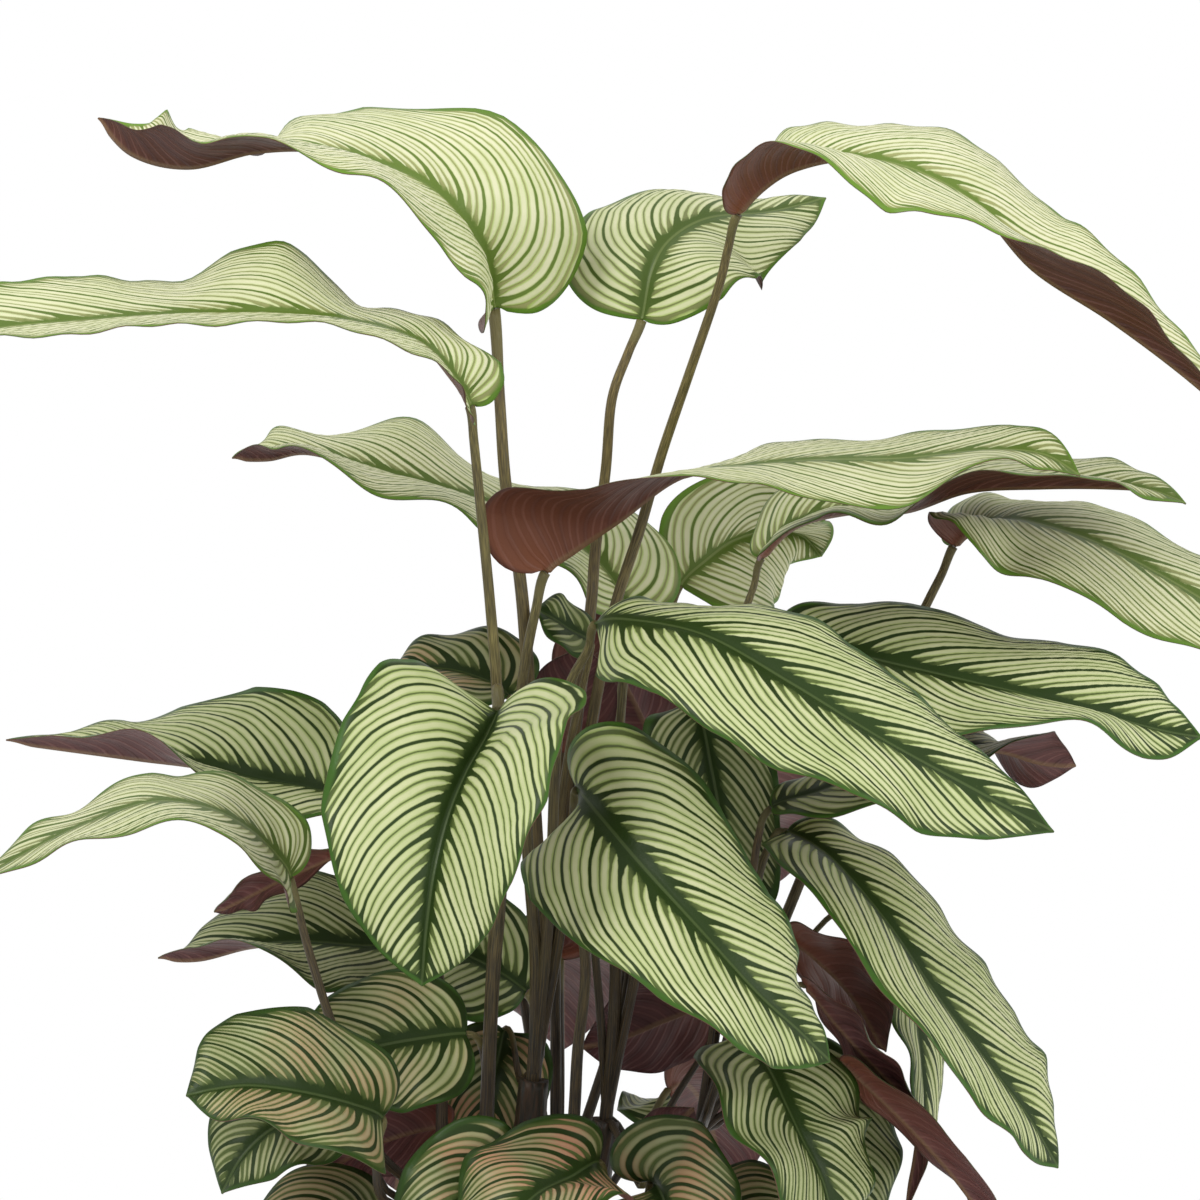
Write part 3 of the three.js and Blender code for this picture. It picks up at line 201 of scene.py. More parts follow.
# Each leaf, as in the solids' source. The wave is its height, its count and its start. The rib's stations
# run from base to tip, as across, up, depth, roll and fold, and the stalk's points down from the base. The
# blush is how far its stripes turn towards pink.
LEAF_FACTS = ("name", "shoot", "width", "widest", "wave", "arch", "lobes", "rib", "stalk", "blush")
LEAVES = [dict(zip(LEAF_FACTS, facts)) for facts in (
    ("top_left", "centre_left", 134, 0.24, (3, 5, 0.6), 0.08, (0.62, 0.2),
     ((-26, 711, 20, -37, 33), (-34, 742, 5, -50, 30), (-60, 772, -15, -69, 6), (-106, 789, -35, -83, 1),
      (-144, 790, -45, -93, 1), (-178, 782, -50, -88, 24), (-206, 788, -52, -83, 48),
      (-224, 806, -50, -83, 48)),
     ((-23, 665, 16), (-20, 623, 12), (-14, 585, 8), (-10, 545, 5), (-7, 485, 5), (-3, 400, 6))),
    ("top_middle", "centre_left", 112, 0.4, (1, 4, 2), 0.08, (0.3, 0.3),
     ((48, 705, 40, 22, 14), (53, 729, 46, 29, 7), (62, 745, 56, 46, -4), (81, 756, 72, 54, -14),
      (111, 759, 90, 70, -8), (140, 766, 102, 58, -12)),
     ((41, 688, 38), (33, 665, 36), (30, 630, 38), (25, 592, 36), (22, 556, 30), (13, 485, 20),
      (4, 400, 12))),
    ("top_right", "centre_left", 104, 0.42, (3, 4, 1), 0.08, (0.35, 0.35),
     ((96, 758, -20, 94, 24), (110, 773, -25, 96, 24), (127, 782, -30, 91, 21), (152, 786, -35, 79, 9),
      (184, 780, -40, 66, 0), (216, 762, -45, 68, 8), (244, 731, -48, 78, 30), (282, 706, -50, 79, 33),
      (317, 680, -52, 79, 33), (350, 652, -50, 79, 28)),
     ((91, 740, -12), (86, 720, -5), (72, 679, 10), (58, 638, 28), (47, 600, 30), (33, 555, 26),
      (20, 485, 18), (7, 400, 10))),
    ("upper_left", "left", 106, 0.42, (1, 5, 0), 0.02, (0.9, 0.35),
     ((-38, 662, -78, -60, 22), (-46, 676, -86, -67, 19), (-63, 694, -96, -82, 4), (-94, 704, -106, -86, 2),
      (-133, 708, -113, -71, 19), (-184, 708, -118, -81, 7), (-228, 705, -122, -76, 10),
      (-273, 701, -124, -70, 16), (-310, 693, -122, -69, 15), (-340, 681, -120, -66, 15)),
     ((-36, 645, -75), (-33, 615, -70), (-28, 565, -64), (-24, 511, -58), (-23, 440, -44), (-27, 375, -34))),
    ("middle_left", "centre_right", 118, 0.3, (5, 4, 1.2), 0.08, (0.65, 0.35),
     ((40, 559, 95, -50, 24), (27, 582, 98, -60, 15), (0, 602, 100, -78, 2), (-38, 616, 100, -80, 3),
      (-83, 629, 96, -76, 12), (-118, 639, 92, -87, 3), (-139, 636, 90, -90, 26), (-157, 636, 88, -90, 26)),
     ((40, 540, 88), (37, 505, 70), (33, 440, 45), (35, 375, 22))),
    ("twisted", "centre_left", 112, 0.22, (2, 4, 0.4), 0.03, (0.9, 0.3),
     ((0, 579, -25, 120, 40), (14, 590, -27, 122, 43), (37, 606, -30, 104, 17), (67, 627, -34, 98, 0),
      (100, 632, -38, 89, 1), (132, 635, -42, 78, -6), (178, 636, -48, 70, -8), (220, 640, -52, 79, 4),
      (248, 638, -54, 58, 12), (267, 627, -54, 58, 12)),
     ((-5, 560, -24), (-10, 535, -22), (-12, 510, -20), (-9, 440, -12), (-5, 385, -4))),
    ("middle_back", "centre_right", 90, 0.4, (2, 3, 0), 0.08, (0.3, 0.3),
     ((67, 572, 158, 0, 15), (80, 585, 170, 0, 15), (94, 595, 190, -12, 22), (111, 600, 210, -30, 40),
      (127, 598, 224, -25, 35), (138, 587, 232, -25, 35)),
     ((61, 552, 150), (54, 515, 136), (43, 440, 86), (38, 370, 34))),
    ("long_right", "centre_right", 84, 0.32, (2, 4, 0.8), 0.08, (0.3, 0.7),
     ((108, 586, 70, 78, 17), (124, 602, 64, 78, 17), (150, 609, 58, 80, 15), (180, 610, 48, 83, 9),
      (211, 620, 38, 89, 15), (247, 622, 28, 90, 18), (280, 622, 22, 84, 16), (302, 620, 18, 71, 9),
      (320, 613, 16, 71, 9)),
     ((104, 572, 68), (98, 555, 62), (77, 495, 45), (52, 415, 28), (42, 365, 20))),
    ("far_right", "right", 104, 0.42, (2, 4, 0), 0.08, (0.1, 0.6),
     ((204, 592, 60, 100, 30), (213, 600, 56, 100, 30), (224, 604, 50, 92, 6), (242, 604, 42, 73, -7),
      (279, 592, 28, 65, -6), (327, 566, 12, 58, -6), (360, 542, 4, 60, 0), (383, 520, 0, 66, 4)),
     ((198, 578, 58), (190, 562, 54), (167, 515, 40), (146, 470, 28), (118, 402, 14), (94, 345, 4))),
    ("right_behind", "right", 108, 0.45, (3, 3, 0.6), 0.08, (0.35, 0.35),
     ((114, 545, 8, 60, 6), (137, 542, -6, 59, 4), (165, 535, -22, 60, 0), (204, 526, -38, 62, -2),
      (242, 517, -52, 70, 8), (280, 507, -64, 72, 14), (306, 500, -70, 59, 7), (328, 496, -72, 60, 0)),
     ((110, 530, 20), (106, 495, 44), (98, 440, 40), (88, 375, 12))),
    ("front_right", "centre_left", 102, 0.5, (2, 4, 2.4), 0.08, (0.0, 0.3),
     ((25, 553, -55, 60, -20), (42, 555, -78, 62, -23), (80, 547, -108, 61, -7), (123, 523, -134, 50, -6),
      (167, 496, -146, 59, -2), (211, 472, -150, 48, -11), (254, 449, -148, 48, -8)),
     ((21, 540, -44), (11, 520, -36), (5, 485, -26), (2, 415, -12))),
    ("front_left", "left", 132, 0.32, (3, 3, 0.4), 0.08, (0.1, 0.15),
     ((-24, 509, -85, -26, 38), (-30, 496, -112, -26, 38), (-40, 478, -140, -25, 37),
      (-49, 456, -162, -22, 32), (-56, 428, -178, -17, 25), (-60, 398, -184, -13, 25),
      (-62, 372, -182, -10, 22)),
     ((-24, 519, -72), (-20, 465, -58), (-23, 415, -44), (-27, 365, -34))),
    ("front_middle", "front", 104, 0.3, (2, 3, 1.4), 0.08, (0.2, 0.9),
     ((16, 470, -84, 12, 2), (26, 458, -112, 15, 0), (48, 432, -142, 28, -9), (77, 400, -164, 46, 0),
      (106, 368, -171, 52, 3), (127, 349, -168, 55, -6), (142, 334, -162, 50, 0)),
     ((14, 458, -74), (14, 425, -62), (20, 382, -48), (16, 340, -36))),
    ("left_raised", "far_left", 110, 0.36, (2, 4, 1.6), 0.08, (0.35, 0.35),
     ((-97, 464, 0, -54, 30), (-117, 470, -4, -59, 25), (-146, 475, -10, -60, 24), (-173, 482, -16, -77, 13),
      (-203, 486, -22, -94, 20), (-233, 490, -26, -95, 22), (-270, 495, -28, -94, 14)),
     ((-84, 451, -2), (-63, 420, -4), (-53, 372, -9), (-52, 325, -16))),
    ("left_arched", "far_left", 86, 0.38, (2, 4, 0), 0.02, (0.35, 0.35),
     ((-128, 426, -95, -64, 20), (-133, 435, -102, -68, 14), (-148, 450, -116, -80, 2),
      (-169, 461, -130, -84, 0), (-198, 464, -142, -82, 1), (-233, 452, -150, -81, 1),
      (-263, 437, -154, -78, 4), (-292, 419, -156, -90, 12)),
     ((-124, 412, -94), (-120, 395, -93), (-110, 362, -92), (-97, 325, -88), (-85, 290, -76))),
    ("left_underside", "far_left", 66, 0.45, (2, 3, 0), 0.08, (0.35, 0.35),
     ((-97, 440, -30, -112, 0), (-128, 428, -42, -112, 0), (-148, 418, -50, -112, 0),
      (-166, 409, -54, -112, 0)),
     ((-83, 431, -26), (-64, 400, -16), (-54, 365, -14), (-52, 325, -16))),
    ("left_low", "centre_left", 104, 0.36, (3, 4, 0.5), 0.08, (0.35, 0.35),
     ((-10, 369, 44, -46, 10), (-33, 384, 44, -48, 8), (-58, 392, 42, -50, 6), (-90, 392, 34, -60, 6),
      (-120, 394, 26, -64, 8), (-148, 392, 18, -80, 14), (-173, 386, 12, -98, 24), (-194, 386, 8, -100, 20)),
     ((-5, 358, 40), (-3, 340, 24))),
    ("low_left_front", "far_left", 88, 0.36, (3, 3, 0), 0.08, (0.35, 0.35),
     ((-82, 306, -112, -50, 14), (-98, 313, -136, -54, 12), (-123, 319, -160, -56, 14),
      (-148, 322, -176, -58, 14), (-167, 320, -184, -56, 12), (-180, 317, -186, -54, 10)),
     ((-84, 292, -98), (-81, 265, -78)), 0.35),
    ("low_left_behind", "left", 80, 0.38, (2, 3, 0.9), 0.08, (0.35, 0.35),
     ((-40, 348, -34, -40, 4), (-60, 346, -40, -38, 3), (-83, 342, -44, -38, 3), (-108, 335, -50, -38, 3),
      (-130, 327, -54, -38, 2)),
     ((-33, 344, -28), (-30, 328, -26)), 0.25),
    ("low_left_small", "far_left", 66, 0.4, (3, 2, 0), 0.08, (0.35, 0.35),
     ((-102, 314, -72, -40, 6), (-122, 307, -84, -42, 5), (-139, 299, -93, -44, 5),
      (-153, 285, -100, -46, 5), (-162, 268, -104, -50, 5)),
     ((-92, 304, -66), (-80, 270, -54))),
    ("low_left_dark", "far_left", 54, 0.42, (2, 2, 0.5), 0.08, (0.35, 0.35),
     ((-49, 302, 10, -146, 0), (-72, 298, 2, -146, 0), (-98, 287, -6, -146, 0), (-125, 268, -12, -146, 0)),
     ((-48, 290, 10), (-50, 270, -4))),
    ("low_front_first", "left", 66, 0.4, (2, 3, 0.3), 0.08, (0.35, 0.35),
     ((-27, 287, -92, 0, 14), (-34, 278, -110, 0, -6), (-46, 255, -128, 0, -16), (-58, 230, -138, 0, -16),
      (-69, 209, -136, 0, -10)),
     ((-24, 275, -78), (-24, 240, -52)), 0.8),
    ("low_front_second", "front", 84, 0.36, (3, 3, 0), 0.08, (0.35, 0.35),
     ((26, 284, -92, -50, 20), (12, 276, -122, -58, 12), (-4, 268, -148, -64, 10), (-20, 253, -164, -64, 8),
      (-37, 234, -170, -62, 6), (-48, 215, -166, -60, 4)),
     ((29, 270, -78), (21, 235, -50)), 0.8),
    ("low_front_third", "front", 84, 0.36, (2, 3, 0.7), 0.08, (0.6, 0.6),
     ((53, 275, -70, 0, 32), (58, 268, -96, 0, 24), (62, 254, -116, 0, 18), (69, 233, -128, 0, 14),
      (75, 209, -126, 0, 10)),
     ((49, 262, -60), (32, 225, -42)), 0.6),
    ("young", "centre_right", 30, 0.4, (1, 2, 0), 0.08, (0.35, 0.35),
     ((50, 287, -30, 160, 0), (57, 296, -36, 160, 0), (66, 304, -40, 160, 0), (74, 311, -42, 160, 0)),
     ((47, 272, -24),)),
    ("low_right_front", "right", 100, 0.42, (4, 4, 0), 0.08, (0.35, 0.35),
     ((96, 348, -62, 46, 10), (110, 332, -86, 50, 6), (120, 312, -104, 54, 4), (128, 295, -114, 58, 6),
      (138, 275, -119, 58, 6), (144, 251, -118, 56, 4), (148, 230, -110, 54, 2)),
     ((91, 340, -54), (81, 310, -36))),
    ("low_right_behind", "right", 72, 0.42, (2, 3, 0.4), 0.08, (0.35, 0.35),
     ((121, 340, 26, 24, 6), (133, 318, 10, 28, 4), (146, 292, -4, 30, 2), (154, 267, -10, 30, 0),
      (159, 240, -10, 30, 0)),
     ((110, 335, 26), (88, 305, 12))),
    ("right_hanging", "right", 98, 0.48, (2, 4, 0.2), 0.08, (0.35, 0.35),
     ((120, 449, -20, 60, 8), (142, 436, -46, 65, 2), (170, 404, -70, 64, 4), (196, 366, -86, 66, 6),
      (224, 329, -93, 66, 8), (242, 305, -94, 62, 6), (256, 281, -90, 56, 0)),
     ((113, 444, -14), (106, 425, -6), (98, 375, -2), (88, 335, 0))),
    ("right_underside", "right", 82, 0.45, (3, 3, 0), 0.08, (0.35, 0.35),
     ((122, 395, 4, 120, 0), (142, 380, -4, 120, 0), (157, 362, -10, 120, 0), (170, 339, -14, 120, 0)),
     ((113, 382, 6), (94, 340, 4))),
    ("right_dark", "right", 60, 0.42, (2, 3, 0.5), 0.08, (0.35, 0.35),
     ((130, 372, -34, 112, 0), (147, 352, -46, 112, 0), (167, 330, -56, 112, 0), (188, 310, -60, 112, 0)),
     ((120, 365, -28), (97, 328, -12))),
    ("right_narrow", "right", 58, 0.45, (2, 4, 0), 0.08, (0.35, 0.35),
     ((148, 410, 34, 60, 0), (167, 398, 24, 64, 0), (181, 372, 12, 66, 0), (186, 345, 2, 66, 4),
      (188, 315, -6, 70, 8), (185, 285, -12, 88, 12), (179, 257, -14, 100, 12)),
     ((127, 390, 38), (110, 365, 30), (91, 322, 12))),
    ("low_right_dark", "right", 60, 0.45, (2, 3, 0), 0.08, (0.35, 0.35),
     ((148, 334, -46, 118, 0), (166, 318, -56, 116, 0), (184, 300, -62, 112, 4), (202, 280, -66, 110, 8),
      (217, 260, -68, 110, 8), (227, 244, -66, 112, 4)),
     ((133, 333, -34), (101, 315, -10))),
    ("inner_hanging", "centre_right", 70, 0.36, (2, 3, 0.6), 0.08, (0.35, 0.35),
     ((72, 516, 24, 0, 14), (78, 504, 16, 0, 18), (83, 480, 12, 0, 20), (89, 450, 12, 0, 20),
      (98, 418, 16, 0, 16), (103, 398, 20, 0, 10)),
     ((69, 509, 30), (61, 465, 32), (51, 405, 20))),
    ("inner_dark", "centre_right", 56, 0.42, (2, 2, 0), 0.08, (0.35, 0.35),
     ((53, 491, 106, 150, 0), (47, 507, 105, 150, 0), (40, 521, 103, 150, 0), (34, 533, 100, 150, 0)),
     ((54, 470, 94), (47, 415, 48))),
    ("inner_left_small", "centre_left", 74, 0.34, (2, 3, 0.3), 0.08, (0.35, 0.35),
     ((-19, 517, 22, -58, 16), (-29, 524, 26, -62, 14), (-48, 530, 32, -66, 8), (-66, 530, 36, -68, 6),
      (-80, 526, 38, -70, 6)),
     ((-16, 509, 20), (-11, 470, 16), (-6, 400, 10)), 0.5),
    ("inner_small", "centre_left", 40, 0.42, (1, 2, 0), 0.08, (0.35, 0.35),
     ((22, 544, 6, -60, 6), (12, 550, 2, -60, 4), (3, 556, -2, -60, 4), (-5, 560, -4, -60, 4)),
     ((22, 537, 8), (17, 515, 10), (8, 465, 10))),
    ("inner_upright", "centre_right", 46, 0.42, (1, 2, 0.6), 0.08, (0.35, 0.35),
     ((11, 489, 54, 176, 0), (13, 509, 54, 176, 0), (16, 527, 50, 176, 0), (19, 541, 46, 176, 0)),
     ((13, 465, 52), (22, 415, 34))),
    ("inner_low_dark", "centre_right", 58, 0.42, (2, 3, 0), 0.08, (0.35, 0.35),
     ((84, 363, 57, -160, 0), (62, 356, 57, -160, 0), (40, 347, 57, -160, 0), (18, 341, 57, -160, 0)),
     ((84, 348, 52), (67, 320, 36), (47, 290, 20))),
    ("inner_low_left", "centre_left", 62, 0.38, (2, 3, 0), 0.08, (0.35, 0.35),
     ((-21, 350, 48, 20, 20), (-24, 337, 44, 20, 18), (-28, 318, 34, 20, 14), (-32, 298, 24, 20, 10),
      (-34, 282, 18, 20, 8)),
     ((-17, 347, 44), (-13, 325, 26)), 0.7),
    ("right_curled", "right", 84, 0.55, (2, 3, 0), 0.08, (0.35, 0.35),
     ((113, 461, -20, 74, 4), (137, 469, -22, 76, 2), (167, 481, -24, 74, 0), (202, 491, -24, 78, 2),
      (227, 490, -24, 100, 4), (247, 484, -22, 128, 4), (265, 482, -20, 140, 4)),
     ((106, 445, -16), (100, 400, -12), (91, 345, -6))),
    ("back_upper", "back", 108, 0.4, (3, 4, 0), 0.08, (0.35, 0.35),
     ((12, 515, 120, -20, 10), (22, 525, 150, -20, 4), (33, 520, 200, -20, 0), (41, 505, 250, -20, 0),
      (45, 480, 280, -20, 0)),
     ((8, 485, 100), (5, 415, 75), (5, 325, 62))),
    ("back_left", "back", 104, 0.4, (3, 4, 1), 0.08, (0.35, 0.35),
     ((-38, 465, 110, 20, 10), (-47, 475, 140, 20, 4), (-58, 470, 190, 20, 0), (-66, 455, 235, 20, 0),
      (-69, 435, 262, 20, 0)),
     ((-28, 440, 95), (-13, 375, 75), (-3, 315, 62))),
    ("back_right", "back", 104, 0.4, (3, 4, 2), 0.08, (0.35, 0.35),
     ((72, 450, 110, -20, 10), (82, 459, 140, -20, 4), (93, 454, 190, -20, 0), (101, 439, 232, -20, 0),
      (105, 420, 258, -20, 0)),
     ((61, 425, 95), (40, 365, 75), (22, 310, 62))),
    ("back_low", "back", 92, 0.4, (3, 3, 0), 0.08, (0.35, 0.35),
     ((7, 385, 110, 0, 10), (7, 392, 140, 0, 4), (8, 385, 185, 0, 0), (8, 365, 225, 0, 0),
      (8, 340, 245, 0, 0)),
     ((7, 365, 98), (7, 315, 72))),
    ("back_low_left", "back", 84, 0.4, (3, 3, 1.4), 0.08, (0.35, 0.35),
     ((-48, 320, 90, 24, 8), (-55, 325, 115, 24, 4), (-64, 315, 150, 24, 0), (-71, 295, 180, 24, 0),
      (-75, 270, 196, 24, 0)),
     ((-38, 305, 82), (-13, 265, 62))),
    ("back_low_right", "back", 84, 0.4, (3, 3, 2.2), 0.08, (0.35, 0.35),
     ((61, 320, 90, -24, 8), (69, 325, 115, -24, 4), (78, 315, 150, -24, 0), (85, 295, 180, -24, 0),
      (89, 270, 196, -24, 0)),
     ((52, 305, 82), (27, 265, 62))),
    ("lowest_left", "far_left", 72, 0.4, (2, 3, 0), 0.08, (0.35, 0.35),
     ((-83, 252, -30, -48, 6), (-97, 256, -44, -50, 4), (-117, 250, -58, -52, 2), (-135, 237, -68, -54, 2),
      (-148, 220, -72, -54, 2)),
     ((-73, 240, -26),), 0.3),
    ("lowest_right", "right", 72, 0.4, (2, 3, 0.8), 0.08, (0.35, 0.35),
     ((72, 254, -34, 50, 6), (88, 257, -52, 52, 4), (109, 249, -66, 54, 2), (127, 234, -74, 56, 2),
      (139, 215, -76, 56, 2)),
     ((65, 240, -26),), 0.3),
)]

# The blades that mostly show their underside
SEEN_FROM_BELOW = {"left_underside", "low_left_dark", "young", "right_underside", "right_dark",
                   "low_right_dark", "inner_dark", "inner_upright", "inner_low_dark"}

SINE, COSINE = math.sin(VIEW_DROP), math.cos(VIEW_DROP)
VIEW_AXIS = np.array([0.0, 1.0, 0.0])
LOOK = np.array([0.0, COSINE, -SINE])


def place(spot):
    """A place in the row's frame from how it stands in the view: across, up and depth."""
    across, up, depth = spot[:3]
    rise = up - AIM[2]
    reach = (depth - rise * SINE) / (COSINE + rise * SINE / VIEW_DISTANCE)
    spread = 1 + reach / VIEW_DISTANCE
    x = AIM[0] + (across - AIM[0]) * spread
    y = rise * spread * SINE + reach * COSINE
    return np.array([x, y, AIM[2] + rise * spread * COSINE - reach * SINE])


def unit(vectors):
    return vectors / np.maximum(np.linalg.norm(vectors, axis=-1, keepdims=True), 1e-9)


def line_length(points):
    return np.sum(np.linalg.norm(np.diff(points, axis=0), axis=1))


def along_line(points, before, after, shares):
    """Points at the shares of a smooth line through the points, with a guide before and after it."""
    guides = np.vstack([before, points, after])
    spans = len(points) - 1
    span = np.clip(np.floor(shares * spans).astype(int), 0, spans - 1)
    local = (shares * spans - span)[:, None]
    a, b, c, d = (guides[span + offset] for offset in range(4))
    pull = 2 * b + (c - a) * local + (2 * a - 5 * b + 4 * c - d) * local ** 2
    return (pull + (3 * b - a - 3 * c + d) * local ** 3) / 2


def smooth(values, low, high):
    share = np.clip((values - low) / (high - low), 0, 1)
    return share * share * (3 - 2 * share)


def turns(sides):
    return 2 * math.pi * np.arange(sides) / sides


def make_mesh(name, points, faces, materials=(), face_materials=None, smooth_faces=True):
    """One mesh object from points in millimetres and faces of three or four corners."""
    mesh = bpy.data.meshes.new(name)
    faces = np.asarray(faces, dtype=np.int32)
    mesh.vertices.add(len(points))
    mesh.vertices.foreach_set("co", (np.asarray(points) * MM).astype(np.float32).ravel())
    mesh.loops.add(faces.size)
    mesh.loops.foreach_set("vertex_index", faces.ravel())
    mesh.polygons.add(len(faces))
    mesh.polygons.foreach_set("loop_start", np.arange(len(faces), dtype=np.int32) * faces.shape[1])
    for material in materials:
        mesh.materials.append(material)
    if face_materials is not None:
        mesh.polygons.foreach_set("material_index", np.asarray(face_materials, dtype=np.int32))
    mesh.polygons.foreach_set("use_smooth", np.full(len(faces), smooth_faces))
    mesh.update(calc_edges=True)
    piece = bpy.data.objects.new(name, mesh)
    bpy.context.scene.collection.objects.link(piece)
    return piece


def add_values(piece, name, values):
    """A number for each point of a piece, which its material reads."""
    layer = piece.data.attributes.new(name, "FLOAT", "POINT")
    layer.data.foreach_set("value", np.asarray(values, dtype=np.float32))


def add_uv(piece, across, along):
    """A flat layout of a piece's surface from two numbers for each point."""
    layer = piece.data.uv_layers.new(name="layout")
    corners = np.empty(len(piece.data.loops), dtype=np.int32)
    piece.data.loops.foreach_get("vertex_index", corners)
    flat = np.stack([across[corners], along[corners]], axis=1)
    layer.data.foreach_set("uv", flat.astype(np.float32).ravel())


def feed(tree, socket, value):
    """Links a signal to a socket, or sets the socket to a plain number or colour."""
    if isinstance(value, Signal):
        tree.links.new(value.socket, socket)
    else:
        socket.default_value = value


class Signal:
    """What a material works out at each place, open to plain arithmetic."""

    def __init__(self, tree, socket):
        self.tree, self.socket = tree, socket

    def worked(self, kind, settings, inputs, output=0):
        node = self.tree.nodes.new(kind)
        for name, setting in settings.items():
            setattr(node, name, setting)
        for number, value in inputs.items():
            feed(self.tree, node.inputs[number], value)
        return Signal(self.tree, node.outputs[output])

    def math(self, operation, other=0.0):
        return self.worked("ShaderNodeMath", {"operation": operation}, {0: self, 1: other})

    def __add__(self, other):
        return self.math("ADD", other)

    def __sub__(self, other):
        return self.math("SUBTRACT", other)

    def __mul__(self, other):
        return self.math("MULTIPLY", other)

    def __truediv__(self, other):
        return self.math("DIVIDE", other)

    def ramp(self, low, high, low_result=0.0, high_result=1.0):
        """Smoothly from one result to the other as this goes from low to high."""
        inputs = dict(enumerate((self, low, high, low_result, high_result)))
        return self.worked("ShaderNodeMapRange", {"interpolation_type": "SMOOTHSTEP"}, inputs)

    def mix(self, first, second):
        """From the first colour to the second, by this share."""
        return self.worked("ShaderNodeMix", {"data_type": "RGBA"}, {0: self, 6: first, 7: second}, 2)

    def fold(self):
        """Distance from the nearest whole number, at most a half."""
        return ((self + 0.5).math("FRACT") - 0.5).math("ABSOLUTE")

    def fade(self, reach):
        """One at nought or less, falling away over the reach."""
        return (self.math("MAXIMUM") / -reach).math("EXPONENT")


class Skin:
    """A short way to write a material."""

    def __init__(self, name):
        self.material = bpy.data.materials.new(name)
        self.material.use_nodes = True
        self.tree = self.material.node_tree
        self.tree.nodes.clear()
        self.shader = self.tree.nodes.new("ShaderNodeBsdfPrincipled")
        output = self.tree.nodes.new("ShaderNodeOutputMaterial")
        self.tree.links.new(self.shader.outputs[0], output.inputs[0])

    def value(self, name):
        node = self.tree.nodes.new("ShaderNodeAttribute")
        node.attribute_name = name
        return Signal(self.tree, node.outputs["Fac"])

    def noise(self, scale, detail, on_layout=False, stretch=None):
        """Cloudy noise over the object's own place, or over the piece's layout."""
        node = self.tree.nodes.new("ShaderNodeTexNoise")
        node.inputs["Scale"].default_value = scale
        node.inputs["Detail"].default_value = detail
        if on_layout:
            layout = self.tree.nodes.new("ShaderNodeUVMap")
            layout.uv_map = "layout"
            source = layout.outputs["UV"]
        else:
            source = self.tree.nodes.new("ShaderNodeTexCoord").outputs["Object"]
        if stretch:
            mapping = self.tree.nodes.new("ShaderNodeMapping")
            mapping.inputs["Scale"].default_value = stretch
            self.tree.links.new(source, mapping.inputs["Vector"])
            source = mapping.outputs[0]
        self.tree.links.new(source, node.inputs["Vector"])
        return Signal(self.tree, node.outputs["Fac"])

    def bump(self, height, distance, strength):
        node = self.tree.nodes.new("ShaderNodeBump")
        node.inputs["Strength"].default_value = strength
        node.inputs["Distance"].default_value = distance
        feed(self.tree, node.inputs["Height"], height)
        self.tree.links.new(node.outputs[0], self.shader.inputs["Normal"])

    def finish(self, colour, roughness, specular=0.5):
        feed(self.tree, self.shader.inputs["Base Color"], colour)
        feed(self.tree, self.shader.inputs["Roughness"], roughness)
        self.shader.inputs["Specular IOR Level"].default_value = specular
        return self.material


def rgb(red, green, blue):
    """A colour as the eye counts it, from 0 to 255, as the shader counts it."""
    def level(number):
        share = number / 255
        return share / 12.92 if share <= 0.04045 else ((share + 0.055) / 1.055) ** 2.4
    return (level(red), level(green), level(blue), 1.0)


def stripe_parts(skin, drift):
    """How far each place is from the nearest vein line and from the nearest bold one, in stripe widths."""
    stripe = (skin.value("vein") + (drift - 0.5) * VEIN_WOBBLE) / STRIPE
    return stripe.fold(), (stripe / STRIPES_PER_GROUP).fold() * STRIPES_PER_GROUP


